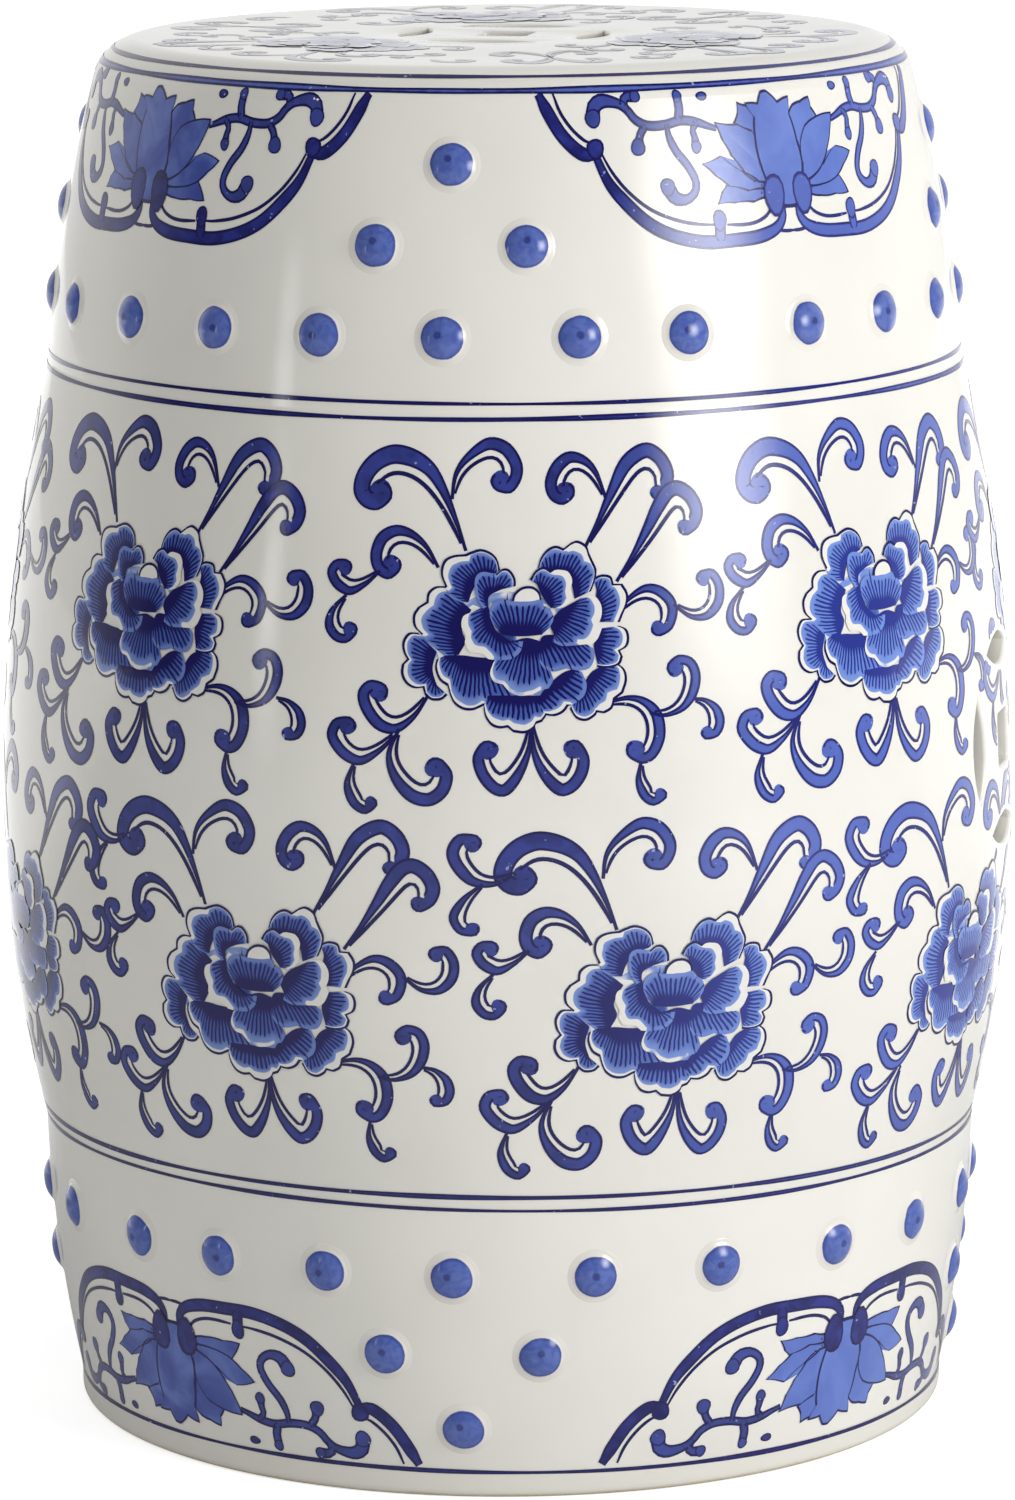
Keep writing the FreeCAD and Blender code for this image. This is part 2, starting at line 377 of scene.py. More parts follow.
def clay_material():
    """Glazed side and bare matt clay under the foot and inside."""
    shader = Shader("foot_clay")
    height = shader.parts(shader.place)["Z"]
    grain = shader.noise(260.0, 4.0)
    bare = shader.mix(grain, CLAY_DARK, CLAY_PALE)
    edge = shader.math("MULTIPLY_ADD", shader.noise(40.0, 2.0), CLAY_FULL, height)
    share = shader.step(edge, CLAY_FULL, CLAY_GONE)
    shader.glazed(shader.mix(share, bare, FOOT_GLAZE))
    roughness = shader.math("MULTIPLY_ADD", share, -0.75, 0.85)
    shader.feed(shader.surface.inputs["Roughness"], roughness)
    return shader.material


def stroke_material():
    """Brushed scrolls: a dark line along each edge and a blue wash between."""
    shader = Shader("cobalt_stroke")
    outer, inner, tone = shader.brush()
    wobble = shader.math("MULTIPLY_ADD", shader.noise(330.0, 2.0), 0.4, -0.2)
    near = shader.math("ADD", shader.math("MINIMUM", outer, inner), wobble)
    line = shader.step(near, 1.05, 0.55)
    cloud = shader.noise(120.0, 3.0, distortion=0.6)
    wash = shader.mix(shader.step(cloud, 0.3, 0.7), SCROLL_DEEP, SCROLL_BLUE)
    wash = shader.mix(tone, wash, SCROLL_PALE)
    # Painted light: the wash and the dark lines turn paler towards the lamp-lit right, above a
    # height
    wash = shader.lit_side_paler(wash, SCROLL_LIT, 0.75, SCROLLS_LIT_ABOVE)
    dark = shader.lit_side_paler(NAVY, NAVY_LIT, 0.8, SCROLLS_LIT_ABOVE)
    body = shader.mix(line, wash, dark)
    specks = shader.step(shader.noise(540.0, 1.0), 0.74, 0.77)
    body = shader.mix(shader.math("MULTIPLY", specks, 0.6), body, SPECK)
    return shader.glazed(body)


def comb_marks(shader, comb, along):
    """Dark comb marks: wide at a petal's root, then narrower, each with an end of its own."""
    waver = shader.math("MULTIPLY_ADD", shader.noise(210.0, 2.0), 0.7, comb)
    tooth = shader.math("MULTIPLY", shader.math("PINGPONG", waver, 0.5), 2.0)
    number = shader.math("ROUND", waver)
    chance = shader.add("ShaderNodeTexWhiteNoise", {"W": number}, noise_dimensions="1D")
    end = shader.math("MULTIPLY_ADD", chance.outputs["Value"], 0.16, 0.8)
    past = shader.step(shader.math("SUBTRACT", along, end), -0.08, 0.06)
    width = 1.1
    for low, high, loss in ((0.22, 0.5, 0.54), (0.5, 0.9, 0.16)):
        lost = shader.math("MULTIPLY", shader.step(along, low, high), loss)
        width = shader.math("SUBTRACT", width, lost)
    width = shader.math("SUBTRACT", width, past)
    return shader.step(shader.math("SUBTRACT", width, tooth), -0.06, 0.1)


def petal_material():
    """Peony petals: dark roots combed out over a wash that pales towards a white rim."""
    shader = Shader("cobalt_petal")
    comb, reach, rim = shader.brush()
    edge = shader.math("SUBTRACT", 0.95, rim)
    waver = shader.math("MULTIPLY_ADD", shader.noise(240.0, 1.0), 0.08, -0.04)
    along = shader.math("DIVIDE", reach, shader.math("ADD", edge, waver))
    marks = comb_marks(shader, comb, along)
    wash = shader.mix(shader.step(along, 0.12, 0.6), PETAL_ROOT, PETAL_BLUE)
    wash = shader.mix(shader.step(along, 0.75, 1.0), wash, PETAL_PALE)
    # Painted light: the petal wash turns paler towards the lamp-lit right
    wash = shader.lit_side_paler(wash, PETAL_LIT, 0.62)
    white = shader.step(along, 0.985, 1.015)
    wash = shader.mix(white, wash, PETAL_RIM)
    marks = shader.math("MULTIPLY", marks, shader.math("SUBTRACT", 1.0, white))
    # Painted light: the comb marks turn paler towards the lamp-lit right
    dark = shader.lit_side_paler(COMB, COMB_LIT, 0.75)
    body = shader.mix(marks, wash, dark)
    body = shader.mix(shader.step(reach, EDGE_LINE, EDGE_LINE + 0.008), body, NAVY)
    return shader.glazed(body)


def lotus_material():
    """Lotus petals: a thin dark line round a clouded pale blue wash."""
    shader = Shader("cobalt_lotus")
    _, reach, tone = shader.brush()
    cloud = shader.step(shader.noise(70.0, 3.0, distortion=0.5), 0.35, 0.7)
    wash = shader.mix(cloud, LOTUS_BLUE, LOTUS_PALE)
    wash = shader.mix(shader.math("MULTIPLY", tone, 0.6), wash, LOTUS_DEEP)
    # Painted light: the lotus wash turns paler towards the lamp-lit right
    wash = shader.lit_side_paler(wash, LOTUS_LIT, 0.62)
    body = shader.mix(shader.step(reach, EDGE_LINE, EDGE_LINE + 0.011), wash, NAVY)
    return shader.glazed(body)


def stud_material():
    """Studs: a blue wash on the dome, a dark dot near its crown and glaze at its root."""
    shader = Shader("cobalt_stud")
    out, across, _ = shader.brush()
    grain = shader.noise(300.0, 3.0, distortion=1.0)
    wash = shader.mix(shader.step(grain, 0.3, 0.7), STUD_BLUE, STUD_PALE)
    rim = shader.math("MULTIPLY", shader.step(out, 5.4, 6.9), 0.7)
    wash = shader.mix(rim, wash, STUD_RIM)
    dot = shader.math("MULTIPLY", shader.step(across, 1.7, 0.9), 0.7)
    wash = shader.mix(dot, wash, STUD_DOT)
    edge = shader.math("MULTIPLY_ADD", shader.noise(160.0, 1.0), 0.9, out)
    body = shader.mix(shader.step(edge, 7.05, 7.35), wash, STUD_ROOT)
    return shader.glazed(body)


MATERIALS = {}
MAKERS = {
    "glaze": glaze_material,
    "clay": clay_material,
    "stroke": stroke_material,
    "petal": petal_material,
    "lotus": lotus_material,
    "stud": stud_material,
}


def material(name):
    """A material by its short name, made once."""
    if name not in MATERIALS:
        MATERIALS[name] = MAKERS[name]()
    return MATERIALS[name]


# Pierced coin panels


# The coin's square eye with its rounded corners, the arcs of the four lens-shaped holes round it,
# and a reach that no hole goes beyond
EYE_HALF = 8.75
EYE_CORNER = 2.0
LENS_R = 29.725
LENS_OFFSET = 24.725
LENS_MIDDLE = 30.0
COIN_REACH = 50.0


def arc_point(angle, radius):
    """A flat point at an angle and a radius."""
    return Vector((math.cos(angle), math.sin(angle))) * radius


def coin_outlines(sizes):
    """The outlines of the coin's five holes, grown by the rim's rounding, round its centre."""
    grow = sizes.rim_round
    corner = EYE_CORNER + grow
    eye = []
    for quarter in range(4):
        middle = math.radians(45 + 90 * quarter)
        centre = arc_point(middle, EYE_HALF + grow - corner) * math.sqrt(2)
        for part in range(5):
            eye.append(centre + arc_point(middle + math.radians(-45 + 22.5 * part), corner))
    radius = LENS_R + grow
    spread = math.acos(LENS_OFFSET / radius)
    lens = []
    for way in (1, -1):
        for part in range(12):
            angle = spread - 2 * spread * part / 12
            out = math.cos(angle) * radius - LENS_OFFSET
            lens.append(Vector((math.sin(angle) * radius * way, LENS_MIDDLE + way * out)))
    quarters = [Matrix.Rotation(math.radians(90 * turn), 2) for turn in range(4)]
    return [eye] + [[quarter @ p for p in lens] for quarter in quarters]


def inside_outline(point, outline, margin):
    """Whether a point is inside an outline or nearer to it than a margin."""
    hit = False
    for first, second in zip(outline, outline[1:] + outline[:1]):
        if (first.y > point.y) != (second.y > point.y):
            cross = first.x + (point.y - first.y) / (second.y - first.y) * (second.x - first.x)
            hit = hit != (point.x < cross)
        along = second - first
        share = min(max((point - first).dot(along) / max(along.length_squared, 1e-9), 0), 1)
        if (first + along * share - point).length < margin:
            return True
    return hit


def add_holes(bm, rim_edges, outlines):
    """Fill between a border and hole outlines in the flat, and return the new faces."""
    edges = list(rim_edges)
    for outline in outlines:
        verts = [bm.verts.new((p.x, p.y, 0)) for p in outline]
        edges += [bm.edges.new(pair) for pair in zip(verts, verts[1:] + verts[:1])]
    made = bmesh.ops.triangle_fill(
        bm, use_beauty=True, use_dissolve=False, edges=edges, normal=(0, 0, 1)
    )
    return [item for item in made["geom"] if isinstance(item, bmesh.types.BMFace)]


def rim_steps(wall, rounding):
    """How far out and down a rim lies at each step through the wall, round at both ends."""
    lip = []
    for angle in (22, 45, 67, 90):
        bend = math.radians(angle)
        lip.append((rounding * math.sin(bend), rounding * (1 - math.cos(bend))))
    return lip + [(inset, wall - depth) for inset, depth in reversed(lip)] + [(0.0, wall)]


def rim_ways(loop):
    """Each point of a rim with its start and the flat way from the clay into the hole."""
    ways = {}
    for vert in {v for e in loop for v in e.verts}:
        ends = [e.other_vert(vert).co for e in vert.link_edges if e in loop]
        along = (ends[0] - ends[1]).normalized()
        way = Vector((-along.y, along.x, 0))
        face = max(vert.link_faces, key=lambda f: f.calc_area())
        if (face.calc_center_median() - vert.co).dot(way) > 0:
            way.negate()
        ways[vert] = (vert.co.copy(), way)
    return ways


def round_rims(bm, loops, wall, rounding):
    """Carry each hole's edge down through the wall with a rounded lip at both ends."""
    for loop in loops:
        ways = rim_ways(loop)
        ring = list(loop)
        owners = {vert: vert for vert in ways}
        for inset, depth in rim_steps(wall, rounding):
            made = bmesh.ops.extrude_edge_only(bm, edges=ring)["geom"]
            fresh = [v for v in made if isinstance(v, bmesh.types.BMVert)]
            edges = [e for e in made if isinstance(e, bmesh.types.BMEdge)]
            ring = [e for e in edges if all(v in fresh for v in e.verts)]
            heirs = {}
            for vert in fresh:
                near = [e.other_vert(vert) for e in vert.link_edges]
                heirs[vert] = owners[next(v for v in near if v in owners)]
            for vert, first in heirs.items():
                start, way = ways[first]
                vert.co = start + way * inset + Vector((0, 0, -depth))
            owners = heirs


def open_loops(bm, keep):
    """The closed loops of open edges whose middle passes a test."""
    left = {e for e in bm.edges if e.is_boundary and keep((e.verts[0].co + e.verts[1].co) / 2)}
    loops = []
    while left:
        loop, front = set(), [left.pop()]
        while front:
            edge = front.pop()
            loop.add(edge)
            near = [e for v in edge.verts for e in v.link_edges if e in left]
            left.difference_update(near)
            front += near
        loops.append(loop)
    return loops


# Rows of the belly's sheet, and how many columns a coin takes from it to either side
BELLY_ROWS = 64
PATCH_COLUMNS = 9


def pierce_sheet(bm, centre, outlines, column, row):
    """Change a patch of the belly's flat sheet for a coin, divided in the sheet's own grid."""
    half = PATCH_COLUMNS * column
    low = LOWER_SEAM_Z + row * round((COIN_Z - COIN_REACH - LOWER_SEAM_Z) / row)
    high = LOWER_SEAM_Z + row * round((COIN_Z + COIN_REACH - LOWER_SEAM_Z) / row)
    patch = []
    for face in bm.faces:
        spot = face.calc_center_median()
        if abs(spot.x - centre) < half and low < spot.y < high:
            patch.append(face)
    rim = {e for f in patch for e in f.edges if any(g not in patch for g in e.link_faces)}
    bmesh.ops.delete(bm, geom=patch, context="FACES_ONLY")
    bmesh.ops.delete(bm, geom=[e for e in bm.edges if not e.link_faces], context="EDGES")
    bmesh.ops.delete(bm, geom=[v for v in bm.verts if not v.link_edges], context="VERTS")
    holes = []
    for outline in outlines:
        holes.append([
            Vector((centre + BELLY_R * math.asin(p.x / BELLY_R), COIN_Z + p.y)) for p in outline
        ])
    faces = add_holes(bm, [e for e in rim if e.is_valid], holes)
    columns = range(1 - PATCH_COLUMNS, PATCH_COLUMNS)
    cuts = [((centre + column * step, 0, 0), (1, 0, 0)) for step in columns]
    cuts += [((0, low + row * step, 0), (0, 1, 0)) for step in range(1, round((high - low) / row))]
    for spot, facing in cuts:
        geom = set(f for f in faces if f.is_valid)
        geom |= {e for f in geom for e in f.edges} | {v for f in geom for v in f.verts}
        made = bmesh.ops.bisect_plane(
            bm, geom=list(geom), dist=LOOSE_WELD, plane_co=spot, plane_no=facing
        )
        faces = [f for f in made["geom"] if isinstance(f, bmesh.types.BMFace)]


def bend_sheet(bm):
    """Bend the belly's flat sheet round the barrel: its depth becomes depth in the wall."""
    for vert in bm.verts:
        azimuth = vert.co.x / BELLY_R
        height = min(max(vert.co.y, LOWER_SEAM_Z), UPPER_SEAM_Z)
        centre_r, centre_z, arc = LOWER_BARREL if height < BELLY_Z else UPPER_BARREL
        radius = centre_r + math.sqrt((arc + vert.co.z) ** 2 - (height - centre_z) ** 2)
        vert.co = Vector((math.sin(azimuth) * radius, -math.cos(azimuth) * radius, height))


def belly_piece(sizes):
    """The barrel's belly as one pierced wall: a flat sheet with both coins, then bent round."""
    bm = bmesh.new()
    column = 2 * math.pi * BELLY_R / SPOKES
    row = (UPPER_SEAM_Z - LOWER_SEAM_Z) / BELLY_ROWS
    bmesh.ops.create_grid(bm, x_segments=SPOKES, y_segments=BELLY_ROWS, size=1)
    for vert in bm.verts:
        x, y = vert.co.x * column * SPOKES / 2, (vert.co.y + 1) / 2 * row * BELLY_ROWS
        vert.co = Vector((x, LOWER_SEAM_Z + y, 0))
    outlines = coin_outlines(sizes)
    for side in (1, -1):
        pierce_sheet(bm, side * BELLY_R * math.pi / 2, outlines, column, row)

    def inside_sheet(middle):
        level = LOWER_SEAM_Z + 1 < middle.y < UPPER_SEAM_Z - 1
        return level and abs(middle.x) < column * (SPOKES / 2 - 1)

    close_wall(bm, sizes.wall, sizes.rim_round, inside_sheet)
    bend_sheet(bm)
    bmesh.ops.remove_doubles(bm, verts=bm.verts, dist=WELD)
    # The seams' open edges are closed through the wall
    for seam in (LOWER_SEAM_Z, UPPER_SEAM_Z):
        border = []
        for edge in bm.edges:
            if edge.is_boundary and all(abs(v.co.z - seam) < 0.01 for v in edge.verts):
                border.append(edge)
        bmesh.ops.bridge_loops(bm, edges=border)
    return bm


def close_wall(bm, wall, rounding, is_hole):
    """Give a flat pierced sheet its other side and the rims of its holes."""
    loops = open_loops(bm, is_hole)
    inner = bmesh.ops.duplicate(bm, geom=bm.faces[:])["geom"]
    back = [f for f in inner if isinstance(f, bmesh.types.BMFace)]
    for vert in {v for f in back for v in f.verts}:
        vert.co.z = -wall
    bmesh.ops.reverse_faces(bm, faces=back)
    round_rims(bm, loops, wall, rounding)
    bmesh.ops.remove_doubles(bm, verts=bm.verts, dist=WELD)


def spin_profile(bm, points, closed=False, steps=SPOKES):
    """Spin a profile of (radius, height) points once round the upright axis."""
    verts = [bm.verts.new((r, 0, z)) for r, z in points]
    ends = verts[1:] + verts[:1] if closed else verts[1:]
    edges = [bm.edges.new(pair) for pair in zip(verts, ends)]
    bmesh.ops.spin(
        bm, geom=verts + edges, cent=(0, 0, 0), axis=(0, 0, 1), dvec=(0, 0, 0),
        angle=2 * math.pi, steps=steps, use_merge=True,
    )


def spin_ring(points):
    """A closed ring of revolution from a closed section of (radius, height) points."""
    bm = bmesh.new()
    spin_profile(bm, points, closed=True)
    return bm


COLLAR_ROWS = 24


def wall_section(arc, low, high, wall):
    """A closed section that follows an arc outside and inside."""
    heights = [low + (high - low) * step / COLLAR_ROWS for step in range(COLLAR_ROWS + 1)]
    outside = [section(z, 0.0, arc) for z in heights]
    inside = []
    centre_r, centre_z, radius = arc
    for z in reversed(heights):
        inside.append((centre_r + math.sqrt((radius - wall) ** 2 - (z - centre_z) ** 2), z))
    return outside + inside


# The seat's coin reaches out to this radius, and the underside has points at two more
COIN_HUB = 47.0
UNDERSIDE_RADII = (126.0, 90.0)


def seat_profile():
    """The seat's section outside its coin: its flat, its rounded edge and its underside."""
    span = SEAT_FLAT_R - COIN_HUB
    profile = [(COIN_HUB + span * step / 6, HEIGHT) for step in range(6)]
    low = math.asin((UNDERSIDE_Z - SEAT_CENTRE_Z) / SEAT_ROUND)
    for step in range(15):
        angle = math.pi / 2 + (low - math.pi / 2) * step / 14
        out, up = SEAT_ROUND * math.cos(angle), SEAT_ROUND * math.sin(angle)
        profile.append((SEAT_FLAT_R + out, SEAT_CENTRE_Z + up))
    return profile + [(radius, UNDERSIDE_Z) for radius in (*UNDERSIDE_RADII, COIN_HUB)]


def seat_piece(sizes):
    """The seat with its rounded edge and its pierced coin, closed underneath."""
    bm = bmesh.new()
    ring = bmesh.ops.create_circle(bm, segments=SPOKES, radius=COIN_HUB, cap_ends=False)["verts"]
    rim = {e for v in ring for e in v.link_edges}
    add_holes(bm, rim, coin_outlines(sizes))
    close_wall(bm, HEIGHT - UNDERSIDE_Z, sizes.rim_round, lambda p: p.length < COIN_HUB - 1)
    bmesh.ops.translate(bm, vec=(0, 0, HEIGHT), verts=bm.verts)
    spin_profile(bm, seat_profile())
    bmesh.ops.remove_doubles(bm, verts=bm.verts, dist=LOOSE_WELD)
    return bm


def foot_section():
    """The foot ring's closed section, with its outer edge a little rounded."""
    inner, chamfer, margin = FOOT_R - FOOT_WIDTH, 1.2, 9.0
    points = [(inner, FOOT_TOP), (inner, chamfer), (inner + chamfer, 0.0)]
    points += [(inner + margin, 0.0), (FOOT_R - margin, 0.0)]
    for step in range(6):
        angle = math.radians(-90 + 90 * step / 5)
        out, up = FOOT_ROUND * math.cos(angle), FOOT_ROUND * math.sin(angle)
        points.append((FOOT_R - FOOT_ROUND + out, FOOT_ROUND + up))
    return points + [(FOOT_R, 2 * FOOT_ROUND), (FOOT_R, FOOT_TOP)]


# Brushwork

# A petal's rings of points and the distance between its comb marks
PETAL_RINGS = 7
COMB_PITCH = 1.95
# A lotus leaf's rings of points and the width of its edge line
LEAF_RINGS = 4
LEAF_LINE = 1.05
# What the brush notes at the inner side of an edge line, on a scale from 0 at the root to 1
LINE_SHARE = 0.94
# Lifts of strokes and lines off the glaze
STROKE_LIFT = 0.08
LINE_LIFT = 0.14
# The width of a scroll's thin tip, and how long the faces along scrolls and lines are
TIP_WIDTH = 0.7
SCROLL_STEP = 1.4
LINE_STEP = 1.5


class Brush:
    """Paints thin shapes onto the stool: place turns a flat point and a lift into a point on it."""

    def __init__(self, place=None):
        self.bm = bmesh.new()
        self.marks = self.bm.verts.layers.float_vector.new(BRUSH_MARKS)
        self.place = place

    def sheet(self, columns, rows, shape):
        """A grid bent to a shape: shape takes two shares and gives point, lift and marks."""
        verts = bmesh.ops.create_grid(self.bm, x_segments=columns, y_segments=rows, size=1)["verts"]
        for vert in verts:
            point, lift, marks = shape((vert.co.x + 1) / 2, (vert.co.y + 1) / 2)
            vert.co = self.place(point.x, point.y, lift)
            vert[self.marks] = marks

    def ribbon(self, path, outer, inner, lift, steps, across, tone=0.0, filled=None):
        """A strip along a path: outer and inner give its reach to either side at each share."""

        def shape(along, over):
            point, side = path.at(along)
            reach, depth = outer(along), inner(along)
            width = reach + depth
            gone = width * over
            deep = width - gone + (filled(along) if filled else 0.0)
            return point + side * (reach - gone), lift, (gone, deep, tone)

        self.sheet(steps, across, shape)

    def disc(self, centre, radius, lift, tone=0.0, tall=1.0, inset=0.0):
        """A round or oval dab."""

        def shape(around, out):
            angle = 2 * math.pi * around
            away = radius * out
            wavy = 1 + 0.05 * math.sin(3 * angle + centre.x)
            spot = centre + Vector((math.cos(angle), math.sin(angle) * tall)) * away * wavy
            deep = radius - away + inset
            return spot, lift, (deep, deep, tone)

        self.sheet(14, 3, shape)

    def petal(self, root, edge, lift, line=1.0):
        """A petal drawn out from its root line to its edge, with comb marks along the way."""
        count = len(edge) - 1
        lengths = [0.0]
        for first, second in zip(edge, edge[1:]):
            lengths.append(lengths[-1] + (second[0] - first[0]).length)
        start = Path(root, 1.0)

        def shape(around, out):
            index = min(round(around * count), count)
            tip, rim, outlined = edge[index]
            foot = start.at(lengths[index] / lengths[-1])[0]
            far = max((tip - foot).length, 1.5)
            inner = 1 - line / far
            ring = round(out * PETAL_RINGS)
            if ring == PETAL_RINGS:
                share, reach = 1.0, LINE_SHARE + (1 - LINE_SHARE) * outlined
            else:
                share = inner * ring / (PETAL_RINGS - 1)
                reach = LINE_SHARE * ring / (PETAL_RINGS - 1)
            return foot + (tip - foot) * share, lift, (lengths[index] / COMB_PITCH, reach, rim)

        self.sheet(count, PETAL_RINGS, shape)

    def leaf(self, outline, base, lift, tone):
        """A plain petal fanned out from its base to a closed outline."""
        count = len(outline) - 1

        def shape(around, out):
            edge = outline[min(round(around * count), count)]
            far = max((edge - base).length, 1.2)
            ring = round(out * LEAF_RINGS)
            share, reach = 1.0, 1.0
            if ring < LEAF_RINGS:
                share = (1 - LEAF_LINE / far) * ring / (LEAF_RINGS - 1)
                reach = LINE_SHARE * ring / (LEAF_RINGS - 1)
            return base + (edge - base) * share, lift, (0.0, reach, tone)

        self.sheet(count, LEAF_RINGS, shape)

    def trim(self, unwanted):
        """Take away the paint that a test says lies over a hole."""
        gone = [f for f in self.bm.faces if any(unwanted(v.co) for v in f.verts)]
        bmesh.ops.delete(self.bm, geom=gone, context="FACES")


class Path:
    """A smooth flat curve through points, with the side that faces outwards from its curl."""

    def __init__(self, points, outwards=None):
        self.spots = spline([Vector(p) for p in points], 8)
        self.lengths = [0.0]
        for first, second in zip(self.spots, self.spots[1:]):
            self.lengths.append(self.lengths[-1] + (second - first).length)
        if outwards is None:
            outwards = -1.0 if self.turning() > 0 else 1.0
        self.outwards = outwards

    def turning(self):
        """The signed turn of the later part of the curve."""
        total = 0.0
        start = len(self.spots) // 3
        for a, b, c in zip(self.spots[start:], self.spots[start + 1:], self.spots[start + 2:]):
            first, second = b - a, c - b
            total += math.atan2(first.x * second.y - first.y * second.x, first.dot(second))
        return total

    def at(self, share):
        """The point at a share of the length, and the unit normal to its outer side."""
        goal = share * self.lengths[-1]
        index = 0
        while index < len(self.lengths) - 2 and self.lengths[index + 1] < goal:
            index += 1
        gap = self.lengths[index + 1] - self.lengths[index]
        part = (goal - self.lengths[index]) / max(gap, 1e-9)
        point = self.spots[index].lerp(self.spots[index + 1], part)
        low, high = max(index - 1, 0), min(index + 2, len(self.spots) - 1)
        along = (self.spots[high] - self.spots[low]).normalized()
        side = Vector((-along.y, along.x)) * self.outwards
        return point, side


def spline(points, parts):
    """A smooth line through points, each run divided into parts."""
    padded = [points[0] * 2 - points[1]] + points + [points[-1] * 2 - points[-2]]
    line = []
    for a, b, c, d in zip(padded, padded[1:], padded[2:], padded[3:]):
        for step in range(parts):
            t = step / parts
            bend, twist = 2 * a - 5 * b + 4 * c - d, 3 * b - a - 3 * c + d
            line.append(0.5 * (2 * b + (c - a) * t + bend * t ** 2 + twist * t ** 3))
    return line + [points[-1]]


def rise(value, low, high):
    """A smooth rise from 0 to 1 between two values."""
    share = min(max((value - low) / (high - low), 0.0), 1.0)
    return share * share * (3 - 2 * share)


def curl(brush, points, width, bulb, lift=STROKE_LIFT, tone=0.0):
    """A scroll: a band that swells to a round bulb, with a dark line inside its curve."""
    path = Path(points)
    turn = -path.outwards
    last = path.spots[-1]
    along = (last - path.spots[-3]).normalized()
    centre = last + Vector((-along.y, along.x)) * turn * bulb
    # The band goes on round the bulb's middle by three more points
    tail = []
    for step in (1, 2, 3):
        turned = Matrix.Rotation(math.radians(42 * step) * turn, 2)
        tail.append(centre + turned @ (last - centre) * (1 - 0.06 * step))
    whole = Path([Vector(p) for p in points] + tail, path.outwards)
    # It meets the bulb at the knot and is at its fullest before that, as shares of its length
    knot = path.lengths[-1] / whole.lengths[-1]
    bend = 0.55 * knot

    def band(share):
        swell = (width - TIP_WIDTH) * rise(share, 0.02, bend)
        return TIP_WIDTH + swell * (1 - 0.12 * rise(share, bend, knot))

    def inner(share):
        return band(share) + (bulb - band(share)) * rise(share, knot - 0.09, knot)

    def filled(share):
        return 3.0 * rise(share, knot - 0.1, knot)

    steps = max(int(whole.lengths[-1] / SCROLL_STEP), 16)
    brush.ribbon(whole, lambda share: 0.4, inner, lift, steps, 3, tone, filled)
    brush.disc(centre, bulb * 1.04, lift - 0.015, tone, inset=1.0)
    # The thin line inside the curve ends on the bulb
    line = smoothed(inside_line(whole, band, knot, 0.5 + 0.26 * width), 7)
    away = (line[-1] - centre).normalized()
    line += [(line[-1] + centre + away * bulb) / 2, centre + away * bulb * 0.8]
    stalk(brush, line, 0.6 + 0.14 * width, lift + 0.02, tone)


def inside_line(path, band, knot, channel):
    """Points inside a scroll's curve, past its band and a bare channel that opens along it."""
    line = []
    start, stop = 0.03, knot * 0.9
    for step in range(21):
        share = start + (stop - start) * step / 20
        point, side = path.at(share)
        spot = point - side * (band(share) + channel * rise(share, 0.0, 0.45 * knot) + 0.2)
        if not line or (spot - line[-1]).length > 0.6:
            line.append(spot)
    return line


def smoothed(line, times):
    """A line whose inner points are drawn towards their neighbours a few times."""
    for _ in range(times):
        soft = []
        for before, here, after in zip(line, line[1:], line[2:]):
            soft.append((before + here * 2 + after) / 4)
        line = [line[0]] + soft + [line[-1]]
    return line


def stalk(brush, points, width, lift=STROKE_LIFT, tone=0.0, swell=0.0):
    """A stalk or line that thins at its ends, or swells towards its last point."""
    path = Path(points, 1.0)

    def half(share):
        ending = 1.0 if swell else rise(1 - share, 0.0, 0.2)
        thin = 0.65 + 0.35 * rise(share, 0.0, 0.2) * ending
        return width / 2 * thin + max(swell - width / 2, 0.0) * rise(share, 0.72, 0.97)

    brush.ribbon(path, half, half, lift, max(int(path.lengths[-1] / LINE_STEP), 6), 2, tone)


